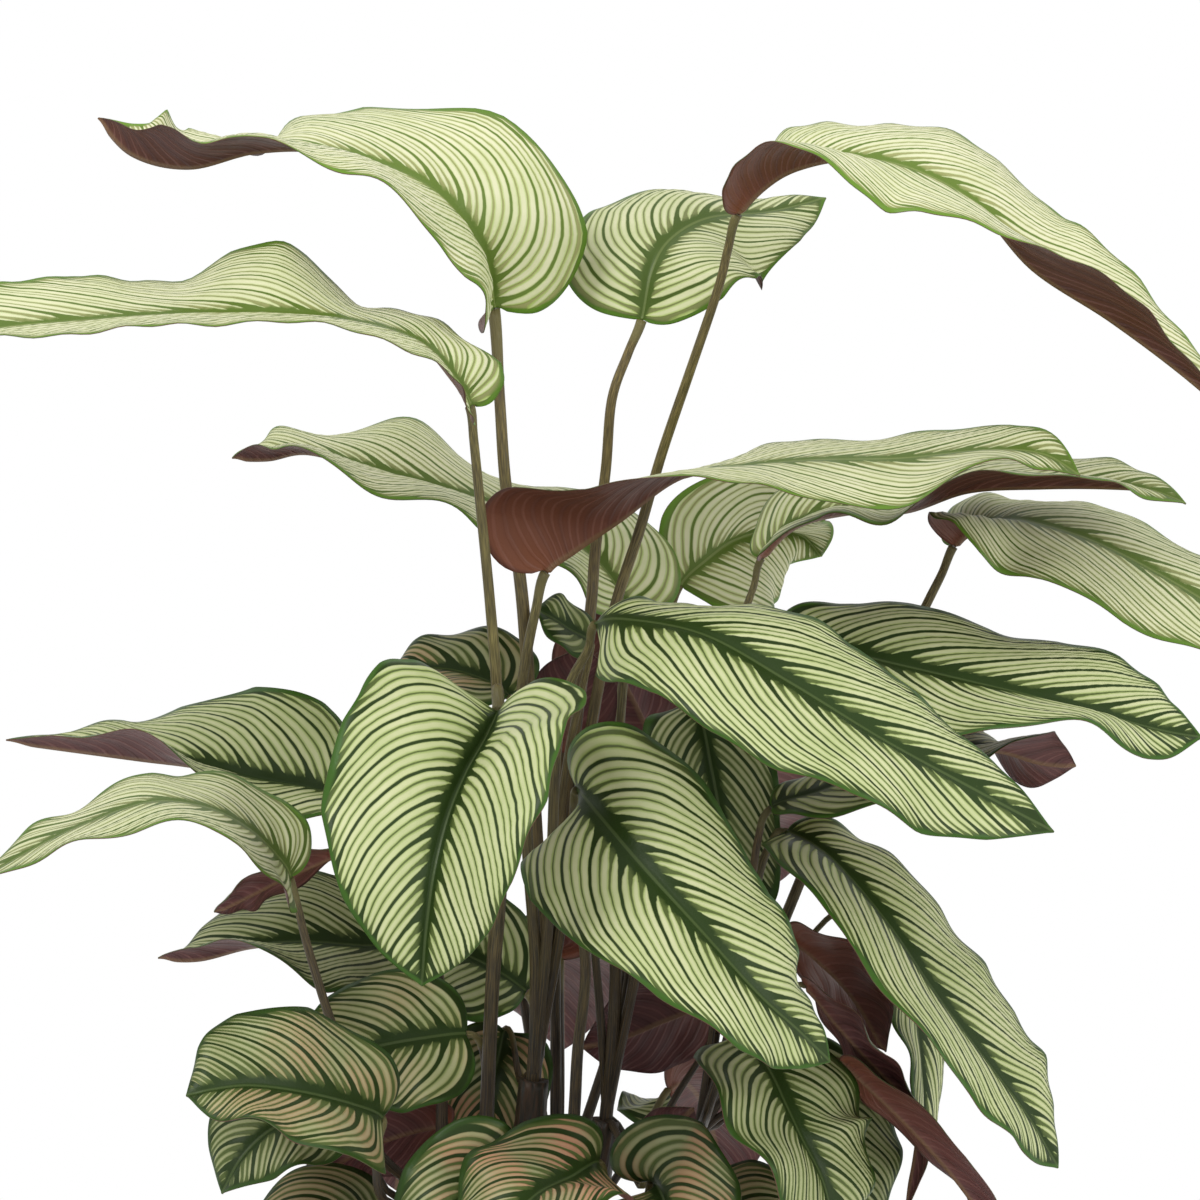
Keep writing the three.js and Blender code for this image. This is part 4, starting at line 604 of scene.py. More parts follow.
def make_blade_top():
    """Cream stripes in groups between dark lines, a dark feathered heart, and a green margin, with painted
    shade on the lower blades and painted light shining through near the base of the upper ones.
    """
    skin = Skin("blade_top")
    tone, lit, painted_shine_through = skin.value("tone"), skin.value("lit"), skin.value("painted_shine_through")
    drift, patches, cloud = skin.noise(55, 2), skin.noise(42, 2), skin.noise(38, 3)
    from_line, from_bold = stripe_parts(skin, drift)
    beyond_heart = skin.value("heart") + (skin.noise(260, 2) - 0.5) * 4.5
    inside_margin = skin.value("edge") - (patches * 6.5 + skin.value("margin"))
    taper = beyond_heart.fade(3.6) + inside_margin.fade(2.6)
    # Painted shade: the dark lines widen on less lit blades
    shaded = lit * -0.06 + 0.06
    off_fine = from_line - (taper * 0.52 + (shaded + drift * 0.1) + 0.02)
    off_bold = from_bold - (taper * 0.6 + (shaded + skin.value("bold")))
    clear_fine, clear_bold = off_fine.ramp(-0.06, 0.08), off_bold.ramp(-0.06, 0.08)

    # Painted shade: the cream and its sides are dimmer on blades lower down, through lit
    bright = tone.mix(lit.mix(rgb(152, 156, 112), rgb(194, 198, 152)), rgb(220, 217, 186))
    side = tone.mix(lit.mix(rgb(98, 110, 60), rgb(146, 163, 94)), rgb(190, 198, 146))
    # Painted light: lime green where light shines through the base of the upper blades
    side = painted_shine_through.mix(side, rgb(150, 178, 66))
    middle = from_line.math("MINIMUM", off_fine).ramp(0.0, 0.3)
    stripe = (middle * cloud.ramp(0.2, 0.8, 1.0, 0.55)).mix(side, bright)
    pink = skin.value("blush") * skin.noise(24, 2).ramp(0.35, 0.65)
    stripe = pink.mix(stripe, rgb(190, 132, 104))
    fine_green = tone.mix(rgb(66, 84, 36), rgb(152, 154, 100))
    deep_green = tone.mix((cloud * 0.5).mix(rgb(12, 28, 8), rgb(34, 62, 20)), rgb(98, 120, 48))
    # Painted shade: the margin is darker on blades lower down
    edging = tone.mix(lit.mix(rgb(30, 54, 20), rgb(48, 86, 26)), rgb(104, 140, 46))
    # Painted light: the margin also turns lime where light shines through near the base
    edging = painted_shine_through.mix(edging, rgb(86, 128, 34))
    deep = inside_margin.ramp(0.0, 2.5, 0.85, 0.0).mix(deep_green, edging)
    lined = clear_fine.mix(taper.ramp(0.3, 0.9).mix(fine_green, deep), stripe)
    rib = skin.value("across").ramp(0.4, 1.1, 0.45, 0.0)
    colour = rib.mix(clear_bold.mix(deep, lined), tone.mix(rgb(78, 96, 56), rgb(150, 160, 96)))

    shown = clear_fine * clear_bold
    skin.bump(shown + skin.noise(900, 2) * 0.35, 0.00035, 0.8)
    roughness = shown * 0.08 + skin.noise(60, 2).ramp(0.3, 0.7, 0.36, 0.46)
    return skin.finish(colour, roughness, 0.2)


def make_blade_underside():
    """Purple-brown, with darker veins, a paler rib, and painted red light shining through near the base."""
    skin = Skin("blade_underside")
    from_line, from_bold = stripe_parts(skin, skin.noise(70, 2))
    fine, bold = from_line.ramp(0.06, 0.22, 1.0, 0.0), from_bold.ramp(0.1, 0.5, 1.0, 0.0)
    colour = skin.value("tone").mix(rgb(94, 56, 56), rgb(82, 44, 28))
    colour = (skin.noise(22, 3).ramp(0.3, 0.7) * 0.6).mix(colour, rgb(84, 50, 50))
    colour = (fine * 0.3).mix(colour, rgb(140, 98, 90))
    colour = (bold * 0.5).mix(colour, rgb(56, 32, 34))
    # Painted light: orange-red light shining through the blade near its base
    colour = skin.value("painted_backlight").mix(colour, rgb(128, 72, 40))
    colour = skin.value("edge").ramp(0.5, 2.5, 0.5, 0.0).mix(colour, rgb(60, 34, 32))
    colour = skin.value("across").ramp(0.8, 2.2, 0.8, 0.0).mix(colour, rgb(120, 92, 66))
    skin.bump(fine + skin.noise(800, 2) * 0.4, 0.0003, 0.7)
    return skin.finish(colour, skin.noise(50, 2).ramp(0.3, 0.7, 0.42, 0.55), 0.35)


def make_blade_rim():
    """The thin reddish-brown line round each blade."""
    skin = Skin("blade_rim")
    colour = skin.noise(60, 2).ramp(0.35, 0.65).mix(rgb(92, 56, 40), rgb(74, 84, 40))
    return skin.finish(colour, skin.noise(90, 1).ramp(0.3, 0.7, 0.45, 0.6))


def make_stalk_skin():
    """Dark brown low down, darkened further there by painted shade inside the clump, and olive higher up,
    streaked along, with a paler swelling below each blade.
    """
    skin = Skin("stalk_skin")
    streaks = skin.noise(1.0, 3, True, (26, 7, 1)).ramp(0.35, 0.68)
    blotches = skin.noise(30, 2).ramp(0.35, 0.7)
    # Painted shade: the low colour is near black, darker than the stalks' own brown, where the clump shades
    # them
    low = streaks.mix(rgb(30, 26, 16), rgb(78, 64, 38))
    olive = streaks.mix(rgb(84, 80, 44), rgb(130, 124, 74))
    brown = streaks.mix(rgb(76, 52, 34), rgb(132, 98, 58))
    colour = skin.value("aloft").mix(low, skin.value("warmth").mix(olive, brown))
    colour = (blotches * 0.3).mix(colour, rgb(62, 46, 32))
    colour = skin.value("sheath").mix(colour, streaks.mix(rgb(28, 28, 16), rgb(70, 50, 32)))
    swelling = blotches.mix(rgb(112, 104, 62), rgb(90, 84, 48))
    skin.bump(streaks, 0.0004, 0.6)
    return skin.finish(skin.value("joint").mix(colour, swelling), streaks.ramp(0.0, 1.0, 0.38, 0.52), 0.4)


def make_pot_plastic():
    """Dark grey moulded plastic, finely grained, with a few pale scuffs and a little dust."""
    skin = Skin("pot_plastic")
    dust = skin.noise(9, 4).ramp(0.5, 0.75, 0.0, 0.35)
    scuffs = skin.noise(1.0, 4, False, (60, 60, 420)).ramp(0.66, 0.72, 0.0, 0.3)
    colour = scuffs.mix(dust.mix(rgb(44, 46, 48), rgb(84, 80, 74)), rgb(98, 98, 96))
    skin.bump(skin.noise(1400, 2), 0.0002, 0.5)
    return skin.finish(colour, dust.ramp(0.0, 0.35, 0.5, 0.72), 0.4)


def make_soil_surface():
    """Dark moist peat with fibres and pale specks."""
    skin = Skin("soil_surface")
    lumps = skin.noise(160, 5)
    fibres = skin.noise(1.0, 3, False, (900, 240, 500)).ramp(0.62, 0.7)
    colour = lumps.ramp(0.3, 0.7).mix(rgb(34, 24, 17), rgb(84, 62, 44))
    colour = (fibres * 0.6).mix(colour, rgb(122, 94, 62))
    skin.bump(lumps, 0.004, 1.0)
    return skin.finish(colour, lumps.ramp(0.3, 0.7, 0.95, 0.8))


def make_soil_bits():
    """Crumbs of peat and bark with a few pale grains of perlite among them."""
    skin = Skin("soil_bits")
    pick = skin.value("pick")
    peat = skin.noise(420, 3).ramp(0.3, 0.7).mix(rgb(40, 28, 20), rgb(98, 70, 46))
    skin.bump(skin.noise(900, 3), 0.0008, 0.8)
    return skin.finish(pick.ramp(0.84, 0.86).mix(peat, rgb(206, 202, 192)), pick.ramp(0.0, 1.0, 0.9, 0.75))


def make_floor_paint():
    skin = Skin("floor_paint")
    return skin.finish(skin.noise(3, 2).mix(rgb(238, 238, 236), rgb(244, 244, 242)), 0.8)


def side_directions(heading, roll, fold):
    """The two directions, right and left, in which a blade leaves its rib at a station."""
    right = unit(np.cross(VIEW_AXIS, heading))
    front = np.cross(right, heading)
    turn, lift = math.radians(roll), math.radians(fold)
    return (right * math.cos(lift + turn) + front * math.sin(lift + turn),
            front * math.sin(lift - turn) - right * math.cos(lift - turn))


def blade_share(shares, widest):
    """How wide a blade is along its length, as a share of its full width."""
    rising = (1 - np.clip(1 - shares / widest, 0, 1) ** SWELL_POWER) ** SWELL_ROUND
    falling = 1 - np.clip((shares - widest) / (1 - widest), 0, 1) ** TAPER_POWER
    return np.where(shares < widest, rising, falling)


def cross_places():
    """Signed places across a blade, from -1 on the left edge to 1 on the right, closer near the rib."""
    steps = np.arange(-BLADE_CELLS, BLADE_CELLS + 1) / BLADE_CELLS
    return np.sign(steps) * np.abs(steps) ** CELL_CROWDING


def blade_frame(leaf, shares):
    """The rib's line, its heading, and the directions of both halves, at the shares of a blade's length."""
    stations = np.array([place(station) for station in leaf["rib"]])
    before = place(leaf["stalk"][0])
    after = 2 * stations[-1] - stations[-2]
    guides = np.vstack([before, stations, after])
    both = [side_directions(unit(guides[index + 2] - guides[index]), station[3], station[4])
            for index, station in enumerate(leaf["rib"])]
    centre = along_line(stations, before, after, shares)
    near = along_line(stations, before, after, np.maximum(shares - HEADING_STEP, 0))
    far = along_line(stations, before, after, np.minimum(shares + HEADING_STEP, 1))
    heading = unit(far - near)
    halves = []
    for known in zip(*both):
        out = along_line(np.array(known), known[0], known[-1], shares)
        halves.append(unit(out - heading * np.sum(out * heading, axis=1, keepdims=True)))
    return centre, heading, *halves


def blade_veins(leaf, length, half, s, t):
    """Where along the rib the vein through each place starts, in even steps whatever the veins' slope."""
    slender = (length / leaf["width"] / USUAL_SLENDERNESS) ** SLENDER_POWER
    lean = (VEIN_LEAN + VEIN_LEAN_GROWTH * t) * slender
    along = t * length - half * lean * (VEIN_START * s + (1 - VEIN_START) * s ** 3)
    rate = 1 / np.sqrt(1 + (VEIN_START * lean[:, 0]) ** 2)
    steps = np.diff(t[:, 0] * length) * (rate[1:] + rate[:-1]) / 2
    counted = np.concatenate([[0], np.cumsum(steps)])
    return np.interp(along, t[:, 0] * length, counted) + np.minimum(along, 0) * rate[0]


def make_blade(leaf, number, materials):
    """One leaf blade: a thin closed sheet about its rib, folded, rolled, waved and pleated."""
    draw = np.random.default_rng(number)
    turned = leaf["name"] in TOP_FACES_BACK
    shares = (np.arange(BLADE_ROWS + 1) / BLADE_ROWS) ** ROW_CROWDING
    centre, heading, right, left = blade_frame(leaf, shares)
    length = line_length(centre)
    places = cross_places()
    s, t = np.abs(places)[None, :], shares[:, None]
    on_right = (places > 0)[None, :]
    half = np.maximum(leaf["width"] / 2 * blade_share(shares, leaf["widest"]), 0)[:, None]
    from_rib = s * half
    beside_rib = smooth(half, *RIB_WIDTHS)

    height, count, start = leaf["wave"]
    phase = start + np.where(on_right, 0, WAVE_OFFSET)
    steady = np.sqrt(np.maximum(0, np.sin(math.pi * t)))
    wave = height * steady * s ** WAVE_RISE * np.sin(2 * math.pi * count * t + phase)
    dome = 4 * s * (1 - s) * leaf["arch"] * half
    vein = blade_veins(leaf, length, half, s, t)
    pleat = PLEAT_HEIGHT * np.cos(2 * math.pi * vein / (STRIPE * STRIPES_PER_GROUP))
    pleat = pleat * smooth(from_rib, *PLEAT_STARTS) * smooth(half - from_rib, 0, PLEAT_ENDS)
    ripple_turn = 2 * math.pi * t * length / (RIPPLE_LENGTH * draw.uniform(0.8, 1.25))
    ripple_turn = ripple_turn + draw.uniform(0, 6.3) + np.where(on_right, 0, RIPPLE_OFFSET)
    ripple = RIPPLE_HEIGHT * s ** 4 * np.sin(ripple_turn) * smooth(half, *RIPPLE_WIDTHS)
    scallop_turn = math.pi * t * length / SCALLOP_LENGTH + np.where(on_right, *draw.uniform(0, math.pi, 2))
    scallop = SCALLOP_DEPTH * SCALLOPED.get(leaf["name"], 1) * np.abs(np.sin(scallop_turn))
    groove = GROOVE_DEPTH * np.exp(-(from_rib / GROOVE_REACH) ** 2) * beside_rib * (1 if turned else -1)

    least = np.where(t == 0, leaf["width"] * STALK_TIP_SHARE, BLADE_TIP_WIDTH / 2)
    reach = np.maximum(np.maximum(half, least) * s - scallop * smooth(half, *SCALLOP_WIDTHS) * s ** 4, 0)
    swept = np.where(on_right, *leaf["lobes"]) * half * np.maximum(0, 1 - t / leaf["widest"]) * s * s
    out = np.where(on_right[:, :, None], right[:, None, :], left[:, None, :])
    mean = unit(np.cross(right - left, heading))
    normal = np.cross(out, np.broadcast_to(heading[:, None, :], out.shape))
    normal = normal * np.where(on_right, 1.0, -1.0)[:, :, None]
    normal[:, BLADE_CELLS, :] = mean
    points = centre[:, None, :] + out * reach[:, :, None] - heading[:, None, :] * swept[:, :, None]
    points = points + normal * (dome + wave + pleat + ripple + groove)[:, :, None]

    rib_half = BLADE_RIB_HALF + BLADE_BASE_HALF * (1 - t) ** 3
    thick = rib_half + (BLADE_EDGE_HALF - rib_half) * np.minimum(1, s * RIB_NARROWNESS)
    keel = KEEL_HEIGHT * np.exp(-(from_rib / KEEL_REACH) ** 2) * beside_rib
    levelled = MEAN_PULL * np.exp(-(from_rib / MEAN_REACH)[:, :, None] ** 2)
    soft = unit(normal + levelled * mean[:, None, :])
    upper = points + soft * (thick + keel * turned)[:, :, None]
    lower = points - soft * (thick + keel * (not turned))[:, :, None]
    top, underside, rim = materials
    skins = (underside, top, rim) if turned else materials
    piece = sheet_piece("blade_" + leaf["name"], upper, lower, skins)
    mark_blade(piece, leaf, draw, vein, from_rib, half, t, places)
    "leaf_underside" if leaf["name"] in SEEN_FROM_BELOW else "leaf_striped"
    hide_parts("leaf_" + leaf["name"])
    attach(piece, "root")


def sheet_piece(name, upper, lower, materials):
    """A closed sheet from two grids of points, with its faces, its back and its rim marked."""
    rows, columns = upper.shape[:2]
    index = np.arange(rows * columns).reshape(rows, columns)
    a, b, c, d = index[:-1, :-1], index[:-1, 1:], index[1:, 1:], index[1:, :-1]
    top = np.stack([a, b, c, d], axis=-1).reshape(-1, 4)
    bottom = np.stack([a, d, c, b], axis=-1).reshape(-1, 4) + index.size
    edge = np.concatenate([index[0, :-1], index[:-1, -1], index[-1, :0:-1], index[:0:-1, 0]])
    following = np.roll(edge, -1)
    rim = np.stack([following, edge, edge + index.size, following + index.size], axis=-1)
    kinds = np.repeat([0, 1, 2], [len(top), len(bottom), len(rim)])
    points = np.vstack([upper.reshape(-1, 3), lower.reshape(-1, 3)])
    return make_mesh(name, points, np.vstack([top, bottom, rim]), materials, kinds)


def mark_blade(piece, leaf, draw, vein, from_rib, half, t, places):
    """The numbers that a blade's markings and its painted light and shade follow, alike on both faces."""
    tone = PALENESS.get(leaf["name"], USUAL_PALENESS)
    # Painted shade: blades lower down, and the inner ones more so, get dimmer colours
    lit = float(smooth(leaf["rib"][0][1], *LIT_HEIGHTS))
    lit *= INNER_LIGHT if leaf["name"].startswith("inner") else 1
    heart_share = HEART_AT_TIP + (HEART_AT_BASE - HEART_AT_TIP) * (1 - t) ** HEART_FALL
    values = {
        "vein": vein * (1 + 0.25 * tone + 0.3 * (1 - lit)) + draw.uniform(0, STRIPE * STRIPES_PER_GROUP),
        "margin": np.where(places[None, :] > 0, draw.uniform(-3.2, -1.6), draw.uniform(-3.2, -1.6)),
        # Painted light shining through the base of the underside
        "painted_backlight": 0.75 * np.exp(-t / BACKLIGHT_REACH.get(leaf["name"], USUAL_BACKLIGHT_REACH)),
        "across": from_rib,
        "heart": from_rib - half * heart_share * (1 - 0.45 * tone),
        "edge": half - from_rib,
        "tone": tone,
        "lit": lit,
        # Painted light shining through the base of the upper blades, weaker on blades lower down
        "painted_shine_through": 0.9 * lit * (0.35 + 0.65 * tone) * np.exp(-t / 0.22),
        "blush": leaf.get("blush", 0.0),
        "bold": draw.uniform(0.12, 0.17) + 0.04 * (1 - tone),
    }

    def on_both_faces(grid):
        return np.tile(np.broadcast_to(grid, from_rib.shape).ravel(), 2)

    for name, grid in values.items():
        add_values(piece, name, on_both_faces(grid))
    add_uv(piece, on_both_faces(0.5 + 0.5 * places[None, :]), on_both_faces(t))


def capped_faces(rings, sides, offset=0):
    """Triangles between rings of points, and fans to the two points after them that close the ends."""
    index = np.arange(rings * sides).reshape(rings, sides) + offset
    turned = np.roll(index, -1, axis=1)
    walls = np.stack([index[:-1], turned[:-1], turned[1:], index[1:]], axis=-1).reshape(-1, 4)
    first = np.full(sides, offset + rings * sides)
    starts = np.stack([first, turned[0], index[0]], axis=-1)
    ends = np.stack([first + 1, index[-1], turned[-1]], axis=-1)
    return np.vstack([walls[:, [0, 1, 2]], walls[:, [0, 2, 3]], starts, ends])


def turned_mesh(name, outline, sides, heights, materials):
    """A solid turned about the pot's axis, closed on the axis at the two heights."""
    ends = [[0.0, 0.0, height] for height in heights]
    points = np.vstack([turned_points(outline, sides).reshape(-1, 3), ends])
    return make_mesh(name, points, capped_faces(len(outline), sides), materials)


def turned_points(outline, sides):
    """Rings of points from an outline of radius and height, turned about the pot's axis."""
    outline = np.asarray(outline, dtype=float)
    x, y = outline[:, :1] * np.cos(turns(sides)), outline[:, :1] * np.sin(turns(sides))
    return np.stack([x, y, np.repeat(outline[:, 1:], sides, axis=1)], axis=-1)


def tube_points(centres, radii, sides, first_heading=None, shape=None):
    """Rings of points round a line, carried along it without twisting."""
    headings = unit(np.vstack([centres[1:], centres[-1:]]) - np.vstack([centres[:1], centres[:-1]]))
    if first_heading is not None:
        headings[0] = first_heading
    sideways = np.array([1.0, 0.0, 0.0])
    angles = turns(sides)
    rings = []
    for ring, heading in enumerate(headings):
        sideways = unit(sideways - heading * np.dot(sideways, heading))
        third = np.cross(heading, sideways)
        spokes = np.cos(angles)[:, None] * sideways + np.sin(angles)[:, None] * third
        scale = radii[ring] * (shape(angles, ring / (len(headings) - 1)) if shape else 1.0)
        rings.append(centres[ring] + spokes * np.reshape(scale * np.ones(sides), (-1, 1)))
    return np.array(rings)


class Bundle:
    """Tubes gathered into one mesh, with the numbers that their material reads."""

    def __init__(self):
        self.points, self.faces, self.values, self.count = [], [], [], 0

    def add(self, rings, joint, warmth, sheath, length):
        rows, sides = rings.shape[:2]
        self.points.append(np.vstack([rings.reshape(-1, 3), rings[0].mean(axis=0), rings[-1].mean(axis=0)]))
        self.faces.append(capped_faces(rows, sides, self.count))
        along = np.repeat(np.linspace(0, length / 100, rows), sides)
        around = np.tile(np.arange(sides) / sides, rows)
        block = np.array([np.repeat(joint, sides), np.full(rows * sides, warmth),
                          np.full(rows * sides, sheath), around, along])
        self.values.append(np.hstack([block, block[:, [0, -1]]]))
        self.count += rows * sides + 2

    def piece(self, name, slot=None, materials=()):
        return make_mesh(name, np.vstack(self.points), np.vstack(self.faces), materials)


def crown_line(shoot):
    x, y = shoot["soil"]
    foot = np.array([x, y, SOIL_TOP - HOLE_DEPTH + CROWN_LIFT])
    return foot, np.array([x, y, SOIL_TOP + CROWN_STRAIGHT]), place(shoot["neck"])


def crown_radius(shoot):
    count = sum(leaf["shoot"] == shoot["name"] for leaf in LEAVES)
    return CROWN_RADIUS_PER_ROOT_STALK * math.sqrt(count)


def add_stalk(bundle, leaf, shoot, number):
    """The stalk of one leaf, from inside its shoot's crown up to just short of its blade."""
    draw = np.random.default_rng(1000 + number)
    _, top, neck = crown_line(shoot)
    sunk = neck + (top - neck) * STALK_SUNK
    line = np.array([place(leaf["rib"][0]), *[place(spot) for spot in leaf["stalk"]], neck, sunk])
    rib = place(leaf["rib"][1])
    length = line_length(line)
    shares = np.linspace(0, 1, max(int(length / STALK_STEP), STALK_LEAST_STEPS))
    centres = along_line(line, rib, 2 * sunk - neck, shares)
    from_blade = shares * length
    swell = np.maximum(0, 1 - from_blade / PULVINUS_LENGTH) * PULVINUS_SWELL
    radii = max(leaf["width"] * STALK_TIP_SHARE, STALK_TIP_LEAST) * (1 + swell) + STALK_GROWTH * shares
    downwards = unit(line[1] - rib)
    centres[0] = centres[0] + downwards * BLADE_GAP
    joint = 1 - smooth(from_blade, PULVINUS_LENGTH * 0.8, PULVINUS_LENGTH)

    def grooved(angles, share):
        return 1 + 0.06 * np.cos(2 * angles) - 0.05 * np.cos(angles)

    rings = tube_points(centres, radii, STALK_SIDES, downwards, grooved)
    bundle.add(rings, joint, draw.uniform(0.1, 0.6), 0.0, length)


def add_crown(bundle, shoot):
    """A crown of wrapped leaf sheaths: a ridged, tapering bundle rising from the soil."""
    foot, top, neck = crown_line(shoot)
    wide = crown_radius(shoot)
    line = np.array([foot, top, top + (neck - top) * CROWN_BEND, neck])
    shares = np.linspace(0, 1, CROWN_ROWS)
    centres = along_line(line, 2 * foot - top, 2 * neck - line[2], shares)
    radii = wide * np.interp(shares * 3, range(4), [CROWN_FLARE, CROWN_FLARE, 1, CROWN_NECK])
    folds = 3 + len(shoot["name"]) % 3

    def ridged(angles, share):
        return 1 - 0.09 * np.abs(np.sin(folds * angles / 2 + 2.2 * share))

    rings = tube_points(centres, radii, CROWN_SIDES, None, ridged)
    bundle.add(rings, np.zeros(len(shares)), 0.5, 1.0, line_length(line))


def make_shoot(shoot, material):
    """A shoot: its crown and all its leaf stalks, in one piece."""
    bundle = Bundle()
    add_crown(bundle, shoot)
    for number, leaf in enumerate(LEAVES):
        if leaf["shoot"] == shoot["name"]:
            add_stalk(bundle, leaf, shoot, number)
    piece = bundle.piece("stalks_" + shoot["name"], "stalk", [material])
    joint, warmth, sheath, around, along = np.hstack(bundle.values)
    aloft = smooth(np.vstack(bundle.points)[:, 2], *ALOFT_HEIGHTS)
    for name, numbers in (("joint", joint), ("warmth", warmth), ("sheath", sheath), ("aloft", aloft)):
        add_values(piece, name, numbers)
    add_uv(piece, around, along)
    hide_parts("shoot_" + shoot["name"])
    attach(piece, "root")


def wall_radius(height):
    return POT_BASE_RADIUS + (POT_TOP_RADIUS - RIM_STEP - RIM_SLOPE - POT_BASE_RADIUS) * height / SHOULDER


def rounded(corners, radius, steps=4):
    """An outline whose inner corners are rounded by cutting them back and bending them smoothly."""
    corners = np.array(corners, dtype=float)
    out = []
    for before, corner, after in zip(corners, corners[1:], corners[2:]):
        into, away = before - corner, after - corner
        cut = min(radius, 0.45 * np.linalg.norm(into), 0.45 * np.linalg.norm(away))
        start, end = corner + unit(into) * cut, corner + unit(away) * cut
        for share in np.arange(steps + 1) / steps:
            out.append((1 - share) ** 2 * start + 2 * share * (1 - share) * corner + share ** 2 * end)
    return out


def make_pot(material):
    """The nursery pot: a turned wall with a stepped rim band, cut by its drain holes."""
    wide = wall_radius(SHOULDER)
    corners = [(0, 0), (POT_BASE_RADIUS, 0), (wide, SHOULDER), (wide + RIM_STEP, SHOULDER + RIM_SLOPE),
               (POT_TOP_RADIUS, POT_HEIGHT), (POT_TOP_RADIUS - POT_WALL, POT_HEIGHT),
               (wide - POT_WALL, SHOULDER), (wall_radius(POT_FLOOR) - POT_WALL, POT_FLOOR), (0, POT_FLOOR)]
    outline = rounded(corners, POT_EDGE_ROUND)
    piece = turned_mesh("nursery_pot", outline, POT_SIDES, (0, POT_FLOOR), [material])
    cut_drains(piece)
    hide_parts("pot")
    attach(piece, "root")


def cut_drains(piece):
    """Cuts the ring of drain holes through the pot's floor."""
    bundle = Bundle()
    for angle in turns(DRAIN_COUNT):
        middle = np.array([DRAIN_RING * math.cos(angle), DRAIN_RING * math.sin(angle), 0])
        ends = np.array([middle - [0, 0, CUT_OVER], middle + [0, 0, POT_FLOOR + CUT_OVER]])
        bundle.add(tube_points(ends, [DRAIN_RADIUS, DRAIN_RADIUS], DRAIN_SIDES), np.zeros(2), 0.0, 0.0, 1.0)
    cutter = bundle.piece("cutter")
    modifier = piece.modifiers.new("drains", "BOOLEAN")
    modifier.operation = "DIFFERENCE"
    modifier.object = cutter
    modifier.solver = "EXACT"
    shown = piece.evaluated_get(bpy.context.evaluated_depsgraph_get())
    cut = bpy.data.meshes.new_from_object(shown)
    piece.modifiers.clear()
    piece.data = cut
    cut.set_sharp_from_angle(angle=math.radians(35))
    bpy.data.objects.remove(cutter)


def make_soil(surface, bits):
    """The soil: a crumbly top over a plain plug, with a hole for each shoot, and loose crumbs on it."""
    draw = np.random.default_rng(SEED)
    floor = POT_FLOOR + SOIL_GAP
    inset = POT_WALL + SOIL_GAP + SOIL_INSET
    edge = wall_radius(SHOULDER) - inset
    top = [(edge * (1 - share), SOIL_TOP) for share in np.linspace(0, 1, SOIL_RINGS)[1:-1]]
    outline = [(wall_radius(floor) - inset, floor), (edge, SHOULDER), (edge, SOIL_TOP - SOIL_SHOULDER), *top]
    rings = turned_points(outline, SOIL_SIDES)
    x, y, z = np.moveaxis(rings[3:], -1, 0)
    for wave in range(SOIL_WAVES):
        scale = 2 * math.pi / draw.uniform(7, 60)
        turn, start = draw.uniform(0, 2 * math.pi), draw.uniform(0, 2 * math.pi)
        swell = SOIL_ROUGHNESS * 0.16 * math.sqrt(0.3 / scale)
        z += swell * np.sin(scale * (x * math.cos(turn) + y * math.sin(turn)) + start)
    z += draw.uniform(-0.35, 0.35, z.shape)
    np.minimum(z, SOIL_TOP + SOIL_ROUGHNESS, out=z)
    for shoot in SHOOTS:
        away = np.hypot(x - shoot["soil"][0], y - shoot["soil"][1])
        wide = crown_radius(shoot) * CROWN_FLARE + HOLE_GAP
        z[away < wide + HOLE_ROUND] = SOIL_TOP - HOLE_SHOWN
    points = np.vstack([rings.reshape(-1, 3), [[0.0, 0.0, floor], [0.0, 0.0, SOIL_TOP]]])
    piece = make_mesh("soil_plug", points, capped_faces(len(outline), SOIL_SIDES), [surface])
    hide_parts("soil")
    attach(piece, "root")
    scatter_crumbs(draw, edge, bits)


def scatter_crumbs(draw, edge, material):
    """Loose crumbs that lie half sunk in the soil's top, clear of the shoots."""
    ball = np.array([[0, 0, 1], [1, 0, 0.2], [0, 1, 0.1], [-1, 0, 0.15], [0, -1, 0.2], [0, 0, -1]])
    skin = np.array([[0, 1, 2], [0, 2, 3], [0, 3, 4], [0, 4, 1], [5, 2, 1], [5, 3, 2], [5, 4, 3], [5, 1, 4]])
    points, picks = [], []
    for crumb in range(CRUMBS):
        angle, far = draw.uniform(0, 2 * math.pi), edge * math.sqrt(draw.uniform(0, 0.96))
        size = CRUMB_SIZE * draw.uniform(0.35, 1.0) ** 1.5
        spot = np.array([far * math.cos(angle), far * math.sin(angle), SOIL_TOP + 0.25 * size])
        near = min(math.dist(spot[:2], shoot["soil"]) - crown_radius(shoot) * CROWN_FLARE
                   for shoot in SHOOTS)
        if near < size + CRUMB_CLEARANCE or far + size > edge:
            continue
        turn = draw.uniform(0, 2 * math.pi)
        c, s = math.cos(turn), math.sin(turn)
        spin = np.array([[c, -s, 0], [s, c, 0], [0, 0, 1]])
        shape = ball * draw.uniform(0.7, 1.2, ball.shape) * [size, size * draw.uniform(0.5, 1), size * 0.7]
        points.append(shape @ spin.T + spot)
        picks.append(np.full(len(ball), draw.uniform()))
    faces = np.vstack([skin + len(ball) * number for number in range(len(points))])
    piece = make_mesh("soil_crumbs", np.vstack(points), faces, [material], None, False)
    add_values(piece, "pick", np.concatenate(picks))
    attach(piece, "root")


def make_floor():
    """The plain pale floor under the plant."""
    ring = turned_points([(FLOOR_RADIUS, -FLOOR_DROP)], FLOOR_SIDES)[0]
    index = np.arange(FLOOR_SIDES)
    faces = np.stack([index, np.roll(index, -1), np.full(FLOOR_SIDES, FLOOR_SIDES)], axis=-1)
    floor = make_mesh("floor", np.vstack([ring, [[0, 0, -FLOOR_DROP]]]), faces, [make_floor_paint()])


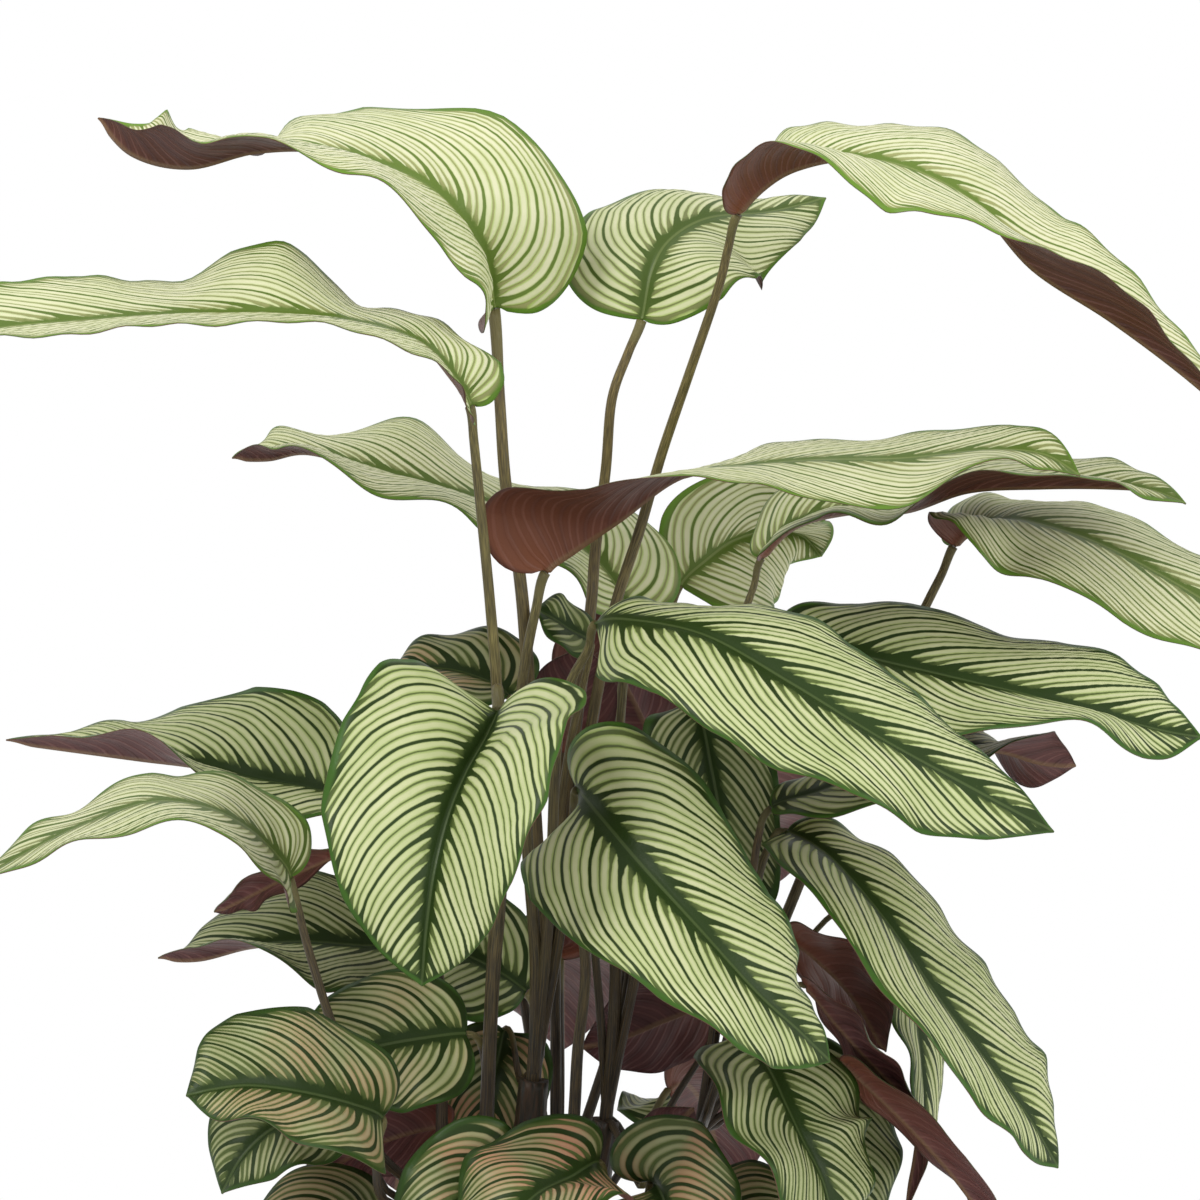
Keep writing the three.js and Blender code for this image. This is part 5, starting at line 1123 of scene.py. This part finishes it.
def make_backdrop():
    """A white room that only the camera sees."""
    angles = turns(BACKDROP_SIDES)[1:BACKDROP_SIDES // 2]
    outline = np.stack([np.sin(angles), -np.cos(angles)], axis=-1) * BACKDROP_RADIUS
    skin = Skin("backdrop_white")
    skin.shader.inputs["Emission Color"].default_value = (1, 1, 1, 1)
    skin.shader.inputs["Emission Strength"].default_value = 1.0
    white = skin.finish((0, 0, 0, 1), 1.0, 0.0)
    ends = (-BACKDROP_RADIUS, BACKDROP_RADIUS)
    room = turned_mesh("backdrop", outline, BACKDROP_SIDES, ends, [white])
    for ray in ("diffuse", "glossy", "transmission", "volume_scatter", "shadow"):
        setattr(room, "visible_" + ray, False)


def add_area_light(name, spot, target, size, power):
    light = bpy.data.lights.new(name, "AREA")
    light.shape, light.size, light.energy = "DISK", size, power
    lamp = bpy.data.objects.new(name, light)
    lamp.location = spot
    away = unit(np.array(spot) - np.array(target))
    lamp.rotation_euler = (math.acos(away[2]), 0, math.atan2(away[1], away[0]) + math.pi / 2)
    bpy.context.scene.collection.objects.link(lamp)


def light_scene():
    """Even white light all round, with one broad soft light above the front left."""
    world = bpy.data.worlds.new("studio")
    world.use_nodes = True
    world.node_tree.nodes["Background"].inputs[0].default_value = (1, 1, 1, 1)
    world.node_tree.nodes["Background"].inputs[1].default_value = WORLD_LIGHT
    bpy.context.scene.world = world
    add_area_light("key", (-1.2, -1.4, 2.7), (0, 0, 0.5), 1.2, KEY_LIGHT)
    add_area_light("fill", (2.0, -1.8, 1.2), (0, 0, 0.5), 1.6, FILL_LIGHT)
    bpy.context.scene.view_settings.view_transform = "Standard"


def set_camera():
    """The camera that the leaves were placed by."""
    data = bpy.data.cameras.new("camera")
    data.sensor_width = SENSOR_WIDTH
    data.lens = SENSOR_WIDTH * VIEW_DISTANCE / VIEW_WIDTH
    data.clip_start, data.clip_end = 0.1, 20
    camera = bpy.data.objects.new("camera", data)
    camera.location = (AIM - LOOK * VIEW_DISTANCE) * MM
    camera.rotation_euler = (math.pi / 2 - VIEW_DROP, 0, 0)
    bpy.context.scene.collection.objects.link(camera)
    bpy.context.scene.camera = camera


set_camera()
light_scene()
make_floor()
make_backdrop()
make_pot(make_pot_plastic())
make_soil(make_soil_surface(), make_soil_bits())
stalk_skin = make_stalk_skin()
for shoot in SHOOTS:
    make_shoot(shoot, stalk_skin)
blade_skins = (make_blade_top(), make_blade_underside(), make_blade_rim())
for number, leaf in enumerate(LEAVES):
    make_blade(leaf, number, blade_skins)
